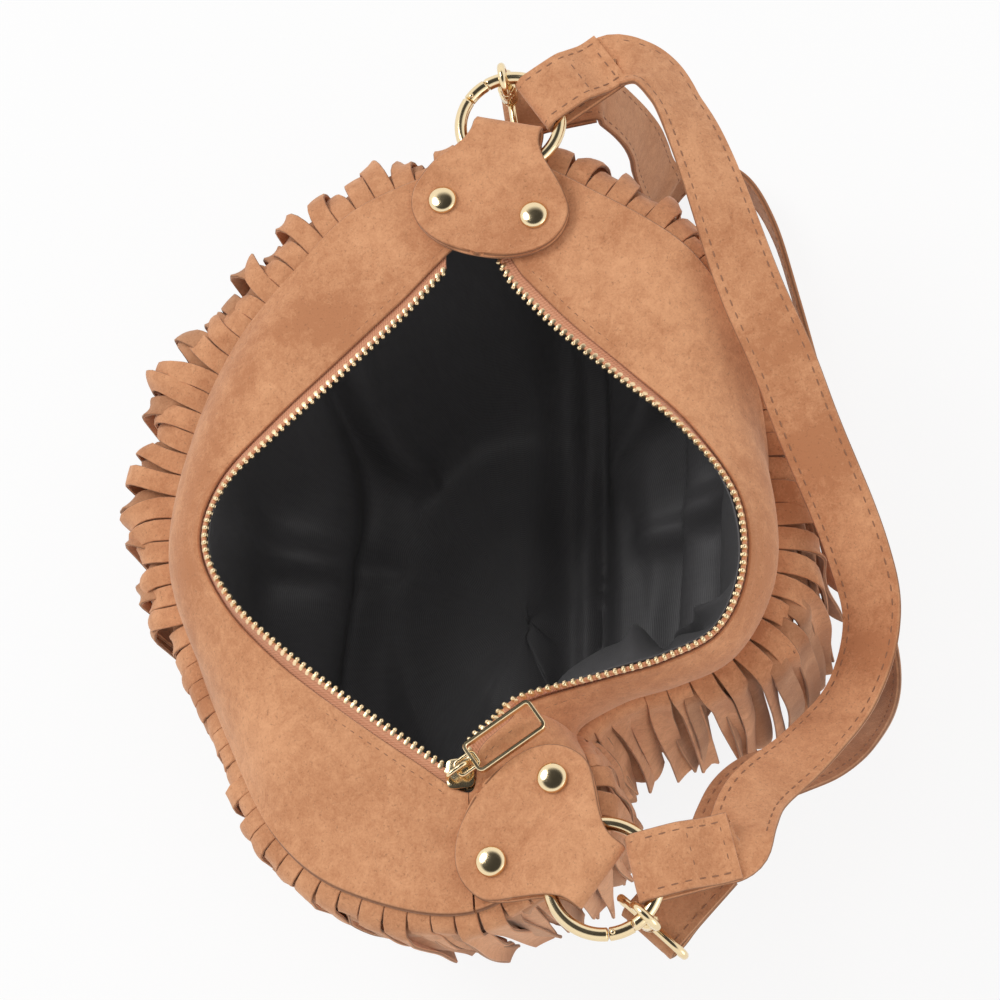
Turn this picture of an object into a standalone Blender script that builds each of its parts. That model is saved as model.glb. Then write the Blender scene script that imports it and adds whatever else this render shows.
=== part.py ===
# Fringed suede shoulder bag, slouched open on its base, with its shoulder strap looped on two
# rings and a second strap clipped to them. Metres, +Z up. +X runs along the zip towards the
# slider, -Y is the front, the origin is on the flat base.
import math

import bmesh
import bpy
import numpy as np
from mathutils import Matrix, Vector

MM = 0.001

# Clearances: between solid faces, and between cloth pieces that follow each other's curves
GAP = 0.3 * MM
CLOTH_GAP = 0.5 * MM

# Leather and cloth
SUEDE = 1.4 * MM
LINING = 0.8 * MM
TAB_PLY = 1.6 * MM
STRAP_THICK = 2.0 * MM
FRINGE_THICK = 1.1 * MM

# Bag
RIM_HEIGHT = 150 * MM
YOKE_BULGE = 5.5 * MM
TAPE_SHOWN = 4 * MM
BODY_TUCK = 0.94
BELLY_HEIGHT = 62 * MM
SOLE_HEIGHT = 14 * MM
SOLE_LENGTH = 176 * MM
SOLE_WIDTH = 122 * MM
SOLE_CENTRE = (2 * MM, -12 * MM)
SOLE_TUCK = 0.86
LINING_INSET = 5 * MM
LINING_SLACK = 5 * MM
LINING_FLOOR = ((0.87, 27 * MM), (0.56, 18 * MM))

# Fringe
FRINGE_LENGTH = 104 * MM
FRINGE_BAND = 4 * MM
FRINGE_BEND = 12 * MM
STRIPS = 30
SLIT = 0.10
LAYER_STEP = 2.7 * MM
LEAN_STATIONS = (0, 4, 5.5, 7, 10, 11.5, 13, 23)
LEAN = (0, 0, 0.04, 0.10, 0.10, 0.04, 0, 0)

# Zip
TAPE_WIDTH = 9 * MM
TAPE_THICK = 0.7 * MM
TAPE_GAP = 1.0 * MM
BEAD_WIDTH = 3.0 * MM
BEAD_HEIGHT = 2.3 * MM
SLIDER_LENGTH = 9 * MM
SLIDER_WIDTH = 8.4 * MM
SLIDER_PLATE = 1.0 * MM
BRIDGE_WIRE = 0.75 * MM
BRIDGE_SPAN = 7.2 * MM
PULL_LENGTH = 29 * MM
PULL_WIDTH = 10.5 * MM
PULL_BAR = 2.0 * MM
PULL_EYE = 0.7 * MM
PULL_THICK = 1.8 * MM
PULL_HEADING = math.radians(121)

# Tabs and rivets
TAB_LENGTH = 44.8 * MM
TAB_WIDTH = 50 * MM
RIVET_INSET = 15 * MM
RIVET_SPACING = 30 * MM
RIVET_CAP = 4.5 * MM
RIVET_DOME = 2.2 * MM
RIVET_POST = 1.5 * MM
RIVET_HOLE_DEPTH = 16 * MM

# Rings
RING_RADIUS = 16 * MM
RING_WIRE = 2.0 * MM
GATE_ARC = math.radians(34)
TIP_GAP = 0.5 * MM
CAP_REACH = 0.3 * MM

# Straps
STRAP_WIDTH = 19 * MM
FLAP_LENGTH = 26 * MM

# Hooks
JAW_WIRE = 1.3 * MM
LEVER_WIRE = 1.1 * MM
# Degrees round the jaw, from its outer side: where the nose ends and where the lever is hinged.
NOSE_ANGLE = 165
LEVER_FOOT = 228
BARREL_RADIUS = 2.9 * MM
BARREL_LENGTH = 9 * MM
EYE_WIRE = 1.3 * MM
EYE_HEIGHT = 7 * MM
STEM_RADIUS = 1.3 * MM
STEM_DEPTH = 4.5 * MM

# Where each tab is riveted, which way it points, and where on its ring things hang, as angles
# measured from the tab's own direction.
TABS = {
    "top": dict(rivets=(-95.5 * MM, 2 * MM), heading=math.radians(163),
                strap=math.radians(-43), hook=math.radians(22), pin=math.radians(78), turn=-1),
    "bottom": dict(rivets=(100 * MM, 2 * MM), heading=math.radians(50),
                   strap=math.radians(50), hook=math.radians(-6), pin=math.radians(-56), turn=1),
}

# Stations round the bag from the top tab along the front to the bottom tab and back: the zip
# line (x, y), the yoke's lower seam (x, y and its drop below the rim) and how far the fringe
# stands out, in millimetres.
STATIONS = [
    (-86, -3, -114, 6, 0, 8), (-64, -29, -104, -38, 0, 16), (-48, -48, -83, -64, 3, 20),
    (-32, -68, -61, -87, 13, 23), (-15, -87, -34, -104, 26, 25), (3, -94, -2, -110, 33, 20),
    (22, -87, 29, -104, 32, 12), (40, -71, 62, -91, 21, 9), (59, -49, 97, -73, 5, 10),
    (75, -29, 116, -50, 0, 9), (86, -14, 124, -14, 0, 8), (75, -13, 104, 18, 0, 7),
    (68, -5, 85, 21, 2, 6), (63, 3, 67, 15, 28, 5), (59, 27, 55, 30, 36, 5),
    (55, 47, 51, 47, 37, 8), (47, 64, 44, 63, 37, 16), (28, 73, 26, 75, 37, 16),
    (5, 72, 2, 78, 37, 13),
    (-18, 58, -22, 80, 31, 11), (-37, 39, -49, 77, 14, 9), (-54, 22, -75, 64, 1, 10),
    (-70, 9, -97, 38, 0, 12),
]
COUNT = len(STATIONS)
BOTTOM_STATION = 10
PANEL_STEPS = 22
YOKE_ROWS = np.linspace(0, 1, 5)
# Where a tab's outline was measured, as shares of its length from the round base to the fold
TAB_STEPS = np.array([0, 0.0335, 0.0893, 0.1786, 0.29, 0.402, 0.5134, 0.625, 0.7366, 0.8482])
CURVE_STEP = 0.02
# How far short of the end stations, in stations, the sewn panels and the zip strands stop.
PANEL_END = 0.01
STRAND_END = 0.42

YOKE_TOP = RIM_HEIGHT + SUEDE / 2
TAB_Z = YOKE_TOP + CLOTH_GAP + TAB_PLY / 2
TAB_TOP = TAB_Z + 1.5 * TAB_PLY + GAP
POCKET = RING_WIRE + GAP
RING_Z = TAB_Z + POCKET + TAB_PLY / 2
JAW_RADIUS = RING_WIRE + JAW_WIRE + 1.1 * MM
JAW_Z = RING_Z + RING_WIRE + GAP + JAW_WIRE - JAW_RADIUS
BARREL_TOP = JAW_Z - JAW_RADIUS + JAW_WIRE * 0.4
BARREL_END = BARREL_TOP - BARREL_LENGTH
EYE_TOP = BARREL_END - 2.5 * MM
EYE_Z = EYE_TOP - EYE_HEIGHT
EYE_SPAN = STRAP_WIDTH + 2 * EYE_WIRE + 3 * MM

COLOURS = {
    "suede": ((0.62, 0.34, 0.19, 1), 0.95, 0.0),
    "suede_dark": ((0.48, 0.26, 0.15, 1), 0.95, 0.0),
    "lining": ((0.012, 0.012, 0.014, 1), 0.7, 0.0),
    "tape": ((0.66, 0.31, 0.17, 1), 0.85, 0.0),
    "gold": ((0.83, 0.66, 0.38, 1), 0.18, 1.0),
}


def start():
    """Empty the scene and make the two collections."""
    for item in list(bpy.data.objects):
        bpy.data.objects.remove(item, do_unlink=True)
    bag = bpy.data.collections.new("fringed_bag")
    tools = bpy.data.collections.new("cutters")
    bpy.context.scene.collection.children.link(bag)
    bpy.context.scene.collection.children.link(tools)
    return bag, tools


BAG, CUTTERS = start()


def finish_of(name, kind):
    """A Principled material for one named piece."""
    colour, roughness, metallic = COLOURS[kind]
    material = bpy.data.materials.new(name)
    material.use_nodes = True
    shader = material.node_tree.nodes["Principled BSDF"]
    shader.inputs["Base Color"].default_value = colour
    shader.inputs["Roughness"].default_value = roughness
    shader.inputs["Metallic"].default_value = metallic
    return material


def piece(name, mesh, kind, smooth=40):
    """Link a mesh to the bag as one named piece."""
    item = bpy.data.objects.new(name, mesh)
    BAG.objects.link(item)
    mesh.materials.clear()
    mesh.materials.append(finish_of(name, kind))
    if smooth:
        mesh.shade_smooth()
        mesh.set_sharp_from_angle(angle=math.radians(smooth))
    return item


def mesh_of(name, points, faces):
    """A mesh from a list of points and faces."""
    mesh = bpy.data.meshes.new(name)
    mesh.from_pydata([tuple(float(c) for c in p) for p in points], [], faces)
    mesh.update()
    return mesh


def spline(points, at, closed=False):
    """Catmull-Rom curve through rows of points, read at the given parameters."""
    points = np.asarray(points, float)
    at = np.asarray(at, float)
    last = len(points)
    if closed:
        base = np.floor(at).astype(int)
        picks = [(base + k) % last for k in (-1, 0, 1, 2)]
    else:
        base = np.clip(np.floor(at).astype(int), 0, last - 2)
        picks = [np.clip(base + k, 0, last - 1) for k in (-1, 0, 1, 2)]
    t = (at - base)[:, None]
    a, b, c, d = (points[k] for k in picks)
    return 0.5 * (2 * b + (c - a) * t + (2 * a - 5 * b + 4 * c - d) * t ** 2
                  + (3 * b - a - 3 * c + d) * t ** 3)


def horizontal_normals(curve_at, at):
    """Outward horizontal unit normals of a closed curve that runs anticlockwise."""
    along = curve_at(at + CURVE_STEP) - curve_at(at - CURVE_STEP)
    normal = np.stack([along[:, 1], -along[:, 0], np.zeros(len(at))], 1)
    return normal / np.linalg.norm(normal, axis=1)[:, None]


TABLE = np.array(STATIONS, float) * MM
TABLE[:, 4] = RIM_HEIGHT - TABLE[:, 4]


def rim_line(at):
    """The line of the zip's teeth."""
    flat = spline(TABLE[:, 0:2], at, closed=True)
    return np.column_stack([flat, np.full(len(at), RIM_HEIGHT)])


def seam_line(at):
    """The yoke's lower edge, never above the rim."""
    line = spline(TABLE[:, 2:5], at, closed=True)
    line[:, 2] = np.minimum(line[:, 2], RIM_HEIGHT)
    return line


def reach_at(at):
    """How far the fringe stands out before it drops."""
    return np.maximum(spline(TABLE[:, 5:6], at, closed=True)[:, 0], 4 * MM)


def out_of_seam(at):
    """Outward directions at the seam, eased round its hollow corner."""
    spread = np.linspace(-0.8, 0.8, 9)
    total = sum(horizontal_normals(seam_line, at + s) for s in spread)
    return total / np.linalg.norm(total, axis=1)[:, None]


def yoke_frame(at):
    """Across direction, length and outward normal of the yoke at each station."""
    def near_zip(place):
        return rim_line(place) * 0.8 + seam_line(place) * 0.2

    rim = rim_line(at)
    across = seam_line(at) - rim
    length = np.linalg.norm(across, axis=1)[:, None]
    across = across / length
    normal = np.cross(across, near_zip(at + CURVE_STEP) - near_zip(at - CURVE_STEP))
    normal /= np.linalg.norm(normal, axis=1)[:, None]
    return rim, across, length, normal


def away_from_tabs(at):
    """0 where a tab lies on the yoke, 1 elsewhere."""
    gap = np.minimum.reduce([np.abs(at), np.abs(at - COUNT), np.abs(at - BOTTOM_STATION - 0.3)])
    t = np.clip((gap - 1.4) / 1.3, 0, 1)
    return t * t * (3 - 2 * t)


def swell(at, share):
    """How far the yoke stands up off a flat strip at a share of its width."""
    arch = np.interp(share, YOKE_ROWS, 4 * YOKE_ROWS * (1 - YOKE_ROWS))
    return YOKE_BULGE * away_from_tabs(at)[:, None] * arch


def halves(margin):
    """Station parameters of the front and the back half."""
    front = np.linspace(margin, BOTTOM_STATION - margin, PANEL_STEPS)
    back = np.linspace(BOTTOM_STATION + margin, COUNT - margin, PANEL_STEPS + 4)
    return {"front": front, "back": back}


def strand_stations(at):
    """A half's stations without those under the tabs, so the zip shares the yoke's facets."""
    ends = at[[0, -1]] + np.array([STRAND_END, -STRAND_END])
    return np.concatenate([ends[:1], at[(at > ends[0]) & (at < ends[1])], ends[1:]])


def grid_mesh(name, rows, closed=False):
    """Quads between rows of equally many points."""
    rows = np.asarray(rows)
    count, width = rows.shape[0], rows.shape[1]
    faces = []
    span = width if closed else width - 1
    for r in range(count - 1):
        for c in range(span):
            n = (c + 1) % width
            faces.append((r * width + c, r * width + n, (r + 1) * width + n, (r + 1) * width + c))
    return mesh_of(name, rows.reshape(-1, 3), faces)


def outward(mesh):
    """Turn all faces the same way round, outwards on a closed mesh."""
    work = bmesh.new()
    work.from_mesh(mesh)
    bmesh.ops.recalc_face_normals(work, faces=work.faces)
    work.to_mesh(mesh)
    work.free()


def wall(item, thickness):
    """Give an open surface its thickness, half to each side."""
    solid = item.modifiers.new("wall", "SOLIDIFY")
    solid.thickness = thickness
    solid.offset = 0
    solid.use_even_offset = False
    return item


def cut(item, cutter):
    """Take one cutter out of a piece."""
    hole = item.modifiers.new("cut", "BOOLEAN")
    hole.operation = "DIFFERENCE"
    hole.object = cutter
    return item


def helper(name, mesh):
    """A solid that is only cut away from a piece or united with one."""
    item = bpy.data.objects.new(name, mesh)
    item.hide_render = True
    item.display_type = "WIRE"
    CUTTERS.objects.link(item)
    return item


def rod_mesh(name, place, radius, length, sides=10):
    """A vertical cylinder about a middle."""
    work = bmesh.new()
    bmesh.ops.create_cone(work, cap_ends=True, segments=sides, radius1=radius, radius2=radius,
                          depth=length, matrix=Matrix.Translation(place))
    mesh = bpy.data.meshes.new(name)
    work.to_mesh(mesh)
    work.free()
    return mesh


def drill(name, place, radius, length):
    """A vertical cutting cylinder."""
    return helper(name, rod_mesh(name, place, radius, length))


def ribbon(points, widths, thickness):
    """A closed strip of rectangular section along a path; widths are the half-width vectors."""
    points, widths = np.asarray(points, float), np.asarray(widths, float)
    along = np.gradient(points, axis=0)
    along /= np.linalg.norm(along, axis=1)[:, None]
    normal = np.cross(along, widths)
    normal /= np.linalg.norm(normal, axis=1)[:, None]
    half = normal * thickness / 2
    ring = np.stack([points - widths - half, points + widths - half,
                     points + widths + half, points - widths + half], 1)
    last = len(points)
    faces = [tuple(4 * i + k for k in pick)
             for i in range(last - 1)
             for pick in ((0, 1, 5, 4), (1, 2, 6, 5), (2, 3, 7, 6), (3, 0, 4, 7))]
    faces += [(3, 2, 1, 0), tuple(4 * (last - 1) + k for k in range(4))]
    return ring.reshape(-1, 3), faces


def wire_mesh(name, points, radius, cyclic=False, sides=2):
    """A round wire along points, as a mesh with welded caps."""
    curve = bpy.data.curves.new(name, "CURVE")
    curve.dimensions = "3D"
    curve.bevel_depth = radius
    curve.bevel_resolution = sides
    curve.use_fill_caps = not cyclic
    line = curve.splines.new("POLY")
    line.points.add(len(points) - 1)
    for point, place in zip(line.points, points):
        point.co = (*[float(c) for c in place], 1)
    line.use_cyclic_u = cyclic
    holder = bpy.data.objects.new(name, curve)
    CUTTERS.objects.link(holder)
    bpy.context.view_layer.update()
    ready = holder.evaluated_get(bpy.context.evaluated_depsgraph_get())
    mesh = bpy.data.meshes.new_from_object(ready)
    bpy.data.objects.remove(holder)
    bpy.data.curves.remove(curve)
    work = bmesh.new()
    work.from_mesh(mesh)
    bmesh.ops.remove_doubles(work, verts=work.verts, dist=1e-6)
    bmesh.ops.recalc_face_normals(work, faces=work.faces)
    work.to_mesh(mesh)
    work.free()
    return mesh


def join(item, name, mesh):
    """Unite another solid with a piece."""
    union = item.modifiers.new("join", "BOOLEAN")
    union.operation = "UNION"
    union.object = helper(name, mesh)
    return item


def turned(name, profile, kind, steps=14):
    """A solid turned about Z from a profile that runs down its outer side."""
    mesh = mesh_of(name, [(r, 0, z) for r, z in profile], [])
    work = bmesh.new()
    work.from_mesh(mesh)
    work.verts.ensure_lookup_table()
    for k in range(len(profile) - 1):
        work.edges.new((work.verts[k], work.verts[k + 1]))
    work.to_mesh(mesh)
    work.free()
    item = piece(name, mesh, kind, smooth=0)
    screw = item.modifiers.new("turn", "SCREW")
    screw.steps = steps
    screw.render_steps = steps
    screw.use_merge_vertices = True
    screw.merge_threshold = 1e-5
    screw.use_smooth_shade = True
    return item


def flat_direction(angle):
    """Horizontal unit vector at an angle."""
    return np.array([math.cos(angle), math.sin(angle), 0])


UP = np.array([0, 0, 1.0])


def tab_values(which):
    """Direction, side direction, start point and ring centre of a tab."""
    spec = TABS[which]
    ahead = flat_direction(spec["heading"])
    side = flat_direction(spec["heading"] + math.pi / 2)
    rivets = np.array([*spec["rivets"], 0])
    start_point = rivets - ahead * RIVET_INSET
    centre = start_point + ahead * (TAB_LENGTH - GAP / 2)
    return spec, ahead, side, start_point, centre + UP * RING_Z


def yoke(side, at):
    """One half of the suede yoke between the zip and the seam."""
    rim, across, length, normal = yoke_frame(at)
    edge = rim + across * TAPE_SHOWN
    rest = length - TAPE_SHOWN
    rows = [edge + across * rest * v + normal * swell(at, v) for v in YOKE_ROWS]
    mesh = grid_mesh("yoke_" + side, rows)
    outward(mesh)
    return wall(piece("yoke_" + side, mesh, "suede"), SUEDE)


def body_rows(at):
    """Rings of the body wall, from the seam down to the sole."""
    seam, out = seam_line(at), out_of_seam(at)
    centre = np.array([*SOLE_CENTRE, 0])
    top = seam - out * (LAYER_STEP + SUEDE / 2 + GAP)
    top[:, 2] = seam[:, 2] - SUEDE - GAP - 0.4 * MM
    shoulder = top - out * 0.8 * MM
    shoulder[:, 2] = top[:, 2] - FRINGE_BEND
    belly = centre + (seam - centre) * BODY_TUCK
    belly[:, 2] = BELLY_HEIGHT
    angle = np.arctan2(seam[:, 1] - centre[1], seam[:, 0] - centre[0])
    oval = np.stack([SOLE_LENGTH / 2 * np.cos(angle), SOLE_WIDTH / 2 * np.sin(angle),
                     np.zeros(len(at))], 1)
    oval_size = np.linalg.norm(oval, axis=1)[:, None]
    belly_size = np.linalg.norm((belly - centre)[:, :2], axis=1)[:, None]
    oval = centre + oval * np.minimum(1, SOLE_TUCK * belly_size / oval_size)
    low = belly * 0.2 + oval * 0.8
    low[:, 2] = SOLE_HEIGHT
    return top, shoulder, belly, low


def body_panel(side, at):
    """One hidden body panel behind the fringe."""
    mesh = grid_mesh("body_" + side, body_rows(at))
    outward(mesh)
    return wall(piece("body_" + side, mesh, "suede_dark"), SUEDE)


def disc_mesh(name, rings):
    """Closed rings joined and filled at the last one by a centre point."""
    rings = np.asarray(rings)
    mesh = grid_mesh(name, rings, closed=True)
    work = bmesh.new()
    work.from_mesh(mesh)
    work.verts.ensure_lookup_table()
    width = rings.shape[1]
    last = [work.verts[(len(rings) - 1) * width + k] for k in range(width)]
    middle = work.verts.new(tuple(np.mean(rings[-1], 0)))
    for k in range(width):
        work.faces.new((last[k], last[(k + 1) % width], middle))
    bmesh.ops.recalc_face_normals(work, faces=work.faces)
    work.to_mesh(mesh)
    work.free()
    return mesh


def sole():
    """The base panel: flat underneath with an upturned edge."""
    at = np.arange(0, COUNT, 0.5)
    low = body_rows(at)[3]
    centre = np.array([*SOLE_CENTRE, 0])
    rings = []
    for scale, height in ((1, SOLE_HEIGHT - GAP - SUEDE / 2), (0.985, 5 * MM), (0.93, 1.4 * MM),
                          (0.86, SUEDE / 2)):
        ring = centre + (low - centre) * scale
        ring[:, 2] = height
        rings.append(ring)
    return wall(piece("base_panel", disc_mesh("base_panel", rings), "suede_dark"), SUEDE)


def lining():
    """The sewn inner bag, open at the mouth."""
    at = np.arange(0, COUNT, 0.5)
    rim, across, length, normal = yoke_frame(at)
    under_tape = TAPE_THICK + BEAD_HEIGHT / 2 + 3 * GAP + LINING
    top = rim + across * (TAPE_WIDTH * 0.9) - normal * under_tape
    belly, low = body_rows(at)[2:4]
    seam, out = seam_line(at), out_of_seam(at)
    shoulder = seam - out * LINING_INSET * 1.6
    shoulder[:, 2] = np.minimum(seam[:, 2] - FRINGE_BEND, top[:, 2] - 8 * MM)
    belly = belly - out * (LINING_INSET + LINING_SLACK)
    belly[:, 2] = BELLY_HEIGHT
    rings = [top, shoulder, belly]
    centre = np.array([*SOLE_CENTRE, 0])
    for share, height in LINING_FLOOR:
        ring = centre + (low - centre) * share
        ring[:, 2] = height
        rings.append(ring)
    return wall(piece("lining", disc_mesh("lining", rings), "lining"), LINING)


def fringe(side, layer, margin):
    """A band of strips: a short run outwards, a bend and a straight drop."""
    inset = LAYER_STEP * layer
    first, last = (0, BOTTOM_STATION) if side == "front" else (BOTTOM_STATION, COUNT)
    strips = STRIPS if side == "front" else STRIPS + 2
    ends = np.linspace(first + margin, last - margin, strips + 1)
    pitch = ends[1] - ends[0]
    points, faces = [], []

    def column(at, spread):
        """One line of points from the root to the tip, and its outward lean."""
        at = np.array([at])
        seam, out = seam_line(at)[0], out_of_seam(at)[0]
        reach = reach_at(at)[0] - inset
        bend = min(FRINGE_BEND, reach)
        run = reach - bend
        drop = FRINGE_LENGTH - run - bend * math.pi / 2
        top = seam[2] - SUEDE / 2 - GAP - FRINGE_THICK / 2 - inset - 0.8 * MM
        line = [(-1.0 * MM, 0), (min(FRINGE_BAND, reach * 0.5), 0)]
        line += [(run + bend * math.sin(a), bend * math.cos(a) - bend)
                 for a in (math.pi / 6, math.pi / 3, math.pi / 2)]
        if run < line[1][0]:
            line[1] = (max(run, 1.2 * MM), 0)
        lean = np.interp(at[0], LEAN_STATIONS, LEAN) * drop
        line += [(reach - lean * 0.5, -bend - drop * 0.5), (reach - lean, -bend - drop)]
        slide = np.cross(UP, out) * spread
        return [seam + out * h + UP * (top - seam[2] + z) + slide * min(1, k / 3)
                for k, (h, z) in enumerate(line)]

    rows = 7
    for at in ends:
        points += column(at, 0)[:2]
    for k in range(strips):
        faces.append((2 * k, 2 * k + 1, 2 * k + 3, 2 * k + 2))
    for k in range(strips):
        left = column(ends[k] + pitch * SLIT / 2, 0)
        right = column(ends[k + 1] - pitch * SLIT / 2, 0)
        base = len(points)
        points += left[2:] + right[2:]
        tall = rows - 2
        faces.append((2 * k + 1, base, base + tall, 2 * k + 3))
        faces += [(base + r, base + r + 1, base + tall + r + 1, base + tall + r)
                  for r in range(tall - 1)]
    name = "fringe_" + ("outer_", "inner_")[layer] + side
    mesh = mesh_of(name, points, faces)
    outward(mesh)
    return wall(piece(name, mesh, ("suede", "suede_dark")[layer], smooth=50), FRINGE_THICK)


def stringer(side, at):
    """One zip strand: its tape and the bead of teeth along the tape's edge."""
    rim, across, length, normal = yoke_frame(at)
    tape_top = -(SUEDE / 2 + TAPE_GAP)
    tape_low = tape_top - TAPE_THICK
    bead_top = -0.1 * MM
    bead_low = bead_top - BEAD_HEIGHT
    inner = 0.8 * MM - BEAD_WIDTH
    outer = inner + BEAD_WIDTH
    section = [(inner, bead_low), (outer, bead_low), (outer, tape_low), (TAPE_SHOWN, tape_low),
               (TAPE_WIDTH, tape_low), (TAPE_WIDTH, tape_top), (TAPE_SHOWN, tape_top),
               (outer, tape_top), (outer, bead_top), (inner, bead_top)]
    rings = []
    for d, n in section:
        share = np.clip((d - TAPE_SHOWN) / (length - TAPE_SHOWN), 0, 1)
        rings.append(rim + across * d + normal * (n + swell(at, share)))
    rings = np.stack(rings, 1)
    mesh = grid_mesh("zip_" + side, rings, closed=True)
    work = bmesh.new()
    work.from_mesh(mesh)
    work.verts.ensure_lookup_table()
    size = len(section)
    work.faces.new([work.verts[k] for k in range(size)])
    work.faces.new([work.verts[(len(at) - 1) * size + k] for k in range(size)])
    bmesh.ops.recalc_face_normals(work, faces=work.faces)
    work.to_mesh(mesh)
    work.free()
    return piece("zip_" + side, mesh, "tape")


def tab_half_width(u):
    """Half-width of a tab along its length: rounded base, waisted towards the fold."""
    places = np.append(TAB_STEPS, 1.005) * TAB_LENGTH
    sizes = np.array([0.16, 0.27, 0.37, 0.45, 0.496, 0.5, 0.45, 0.37, 0.28, 0.22, 0.21])
    return np.interp(u, places, sizes * TAB_WIDTH)


def tab(which):
    """A suede tab folded round its ring: under ply, fold, upper ply."""
    spec, ahead, side, start_point, centre = tab_values(which)
    turn = POCKET + TAB_PLY / 2
    fold = TAB_LENGTH - TAB_PLY / 2 - turn
    lift = TAB_PLY + GAP
    steps = TAB_STEPS * TAB_LENGTH
    under = [(u, 0) for u in steps]
    bend = [(fold + turn * math.sin(a), turn - turn * math.cos(a))
            for a in np.linspace(0, math.pi, 7)]
    over = [(u, 2 * turn) for u in (steps[8], steps[7], steps[6] + TAB_LENGTH / 15)]
    over += [(u, lift) for u in (steps[5] + TAB_LENGTH / 18, *steps[5::-1])]
    path = under + bend + over
    points = [start_point + ahead * u + UP * (TAB_Z + n) for u, n in path]
    widths = [side * tab_half_width(u) for u, n in path]
    mesh = mesh_of("tab_" + which, *ribbon(points, widths, TAB_PLY))
    outward(mesh)
    return piece("tab_" + which, mesh, "suede", smooth=30)


def rivet_places(which):
    """Where the two rivets of a tab stand."""
    spec, ahead, side, start_point, centre = tab_values(which)
    middle = start_point + ahead * RIVET_INSET
    return [middle + side * RIVET_SPACING / 2 * s for s in (-1, 1)]


def rivets(which, carriers):
    """Two domed rivets through a tab and the yoke, each with its cap inside the bag."""
    top = TAB_TOP + GAP
    below = RIM_HEIGHT - SUEDE / 2 - GAP
    for number, place in enumerate(rivet_places(which), 1):
        dome = [(RIVET_CAP * math.sin(a), top + RIVET_DOME * math.cos(a))
                for a in np.linspace(0, math.pi / 2, 5)]
        profile = dome + [(RIVET_POST, top), (RIVET_POST, below), (RIVET_CAP * 0.8, below),
                          (RIVET_CAP * 0.8, below - 1 * MM), (0, below - 1 * MM)]
        item = turned(f"rivet_{which}_{number}", profile, "gold")
        item.location = (place[0], place[1], 0)
        hole = drill(f"rivet_hole_{which}_{number}", (place[0], place[1], RIM_HEIGHT),
                     RIVET_POST + GAP, RIVET_HOLE_DEPTH)
        for carrier in carriers:
            if carrier.name.startswith("tab") or near(carrier, place):
                cut(carrier, hole)


def near(carrier, place):
    """Whether a yoke half lies under a rivet."""
    at = np.linspace(0, COUNT, 200)
    seam = seam_line(at)
    nearest = at[np.argmin(np.linalg.norm(seam[:, :2] - place[:2], axis=1))]
    half = "front" if nearest < BOTTOM_STATION else "back"
    return carrier.name.endswith(half)


def arc_points(centre, start, end, count):
    """Points of the ring's centre line between two angles."""
    return [centre + flat_direction(a) * RING_RADIUS for a in np.linspace(start, end, count)]


def slant(mesh, tip, reach, along, radius):
    """Turn a wire's cut end so that it lies across the reach from a pin, and swings past."""
    normal = Vector(reach).normalized()
    for corner in mesh.vertices:
        offset = corner.co - Vector(tip)
        if abs(offset.dot(Vector(along))) < CAP_REACH and offset.length < 1.5 * radius:
            corner.co -= Vector(along) * offset.dot(normal) / Vector(along).dot(normal)


def ring(which):
    """A ring with a gate: a fixed bow and a curved gate that swings inwards on a pin."""
    spec, ahead, side, start_point, centre = tab_values(which)
    pin = spec["heading"] + spec["pin"]
    turn = spec["turn"]
    play, tip_play = GAP / RING_RADIUS, TIP_GAP / RING_RADIUS
    gate_from, gate_to = pin + turn * (RING_WIRE * 1.15 / RING_RADIUS), pin + turn * GATE_ARC
    bow = wire_mesh("ring_bow_" + which, arc_points(
        centre, gate_to + turn * tip_play, gate_from - turn * play + turn * 2 * math.pi, 34), RING_WIRE)
    gate = wire_mesh("ring_gate_" + which, arc_points(centre, gate_from, gate_to, 6), RING_WIRE)
    hinge = centre + flat_direction(gate_from) * (RING_RADIUS - RING_WIRE)
    for wire, at in ((gate, gate_to), (bow, gate_to + turn * tip_play)):
        tip = centre + flat_direction(at) * RING_RADIUS
        slant(wire, tip, tip - hinge, flat_direction(at + math.pi / 2), RING_WIRE)
    piece("ring_" + which, bow, "gold", smooth=60)
    lever = piece("ring_gate_" + which, gate, "gold", smooth=60)
    for corner in gate.vertices:
        corner.co = corner.co - Vector(hinge)
    lever.location = hinge
    return centre, hinge


def strap_loop(centre, angle):
    """Path of a strap end round the ring's wire, clear of the wire across the strap's width."""
    ahead = flat_direction(angle)
    turn = POCKET + STRAP_THICK / 2
    lap = turn - STRAP_THICK - GAP
    nose = math.sqrt(RING_RADIUS ** 2 - (STRAP_WIDTH / 2) ** 2) - GAP
    far = nose + FLAP_LENGTH
    path = [(far, -lap), (nose + 20 * MM, -lap), (nose + 14.5 * MM, turn * 0.5),
            (nose + 10.5 * MM, turn)]
    path += [(nose - turn * math.sin(a), turn * math.cos(a))
             for a in np.linspace(0, math.pi, 7)]
    path += [(nose + 10.5 * MM, -turn), (nose + 20 * MM, -turn), (far, -turn)]
    points = [centre + ahead * s + UP * n for s, n in path]
    return points, ahead


SHOULDER_ROUTE = [
    (-139, 56, 152, -30), (-126, 64, 151, -40), (-105, 71, 151, -25), (-62, 81, 152, -5),
    (-38, 89, 145, 0), (-18, 95, 133, 5), (12, 105, 113, 12), (35, 108, 103, 25),
    (58, 100, 104, 30), (77, 85, 116, 22), (94, 69, 134, 8),
]
CLIP_ROUTE = [
    (-141, 46, 108, 0), (-139, 50, 72, 0), (-139, 51, 34, 40), (-146, 49, 14, 80),
    (-160, 50, 10.6, 90), (-169, 62, 10.6, 90), (-161, 78, 10.6, 90), (-142, 87, 10.6, 90),
    (-112, 93, 10.6, 90), (-70, 100, 10.6, 90), (-30, 107, 10.6, 90), (10, 112, 11.5, 84),
    (44, 108, 32, 55), (70, 92, 76, 25), (88, 66, 116, 5),
]


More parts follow.
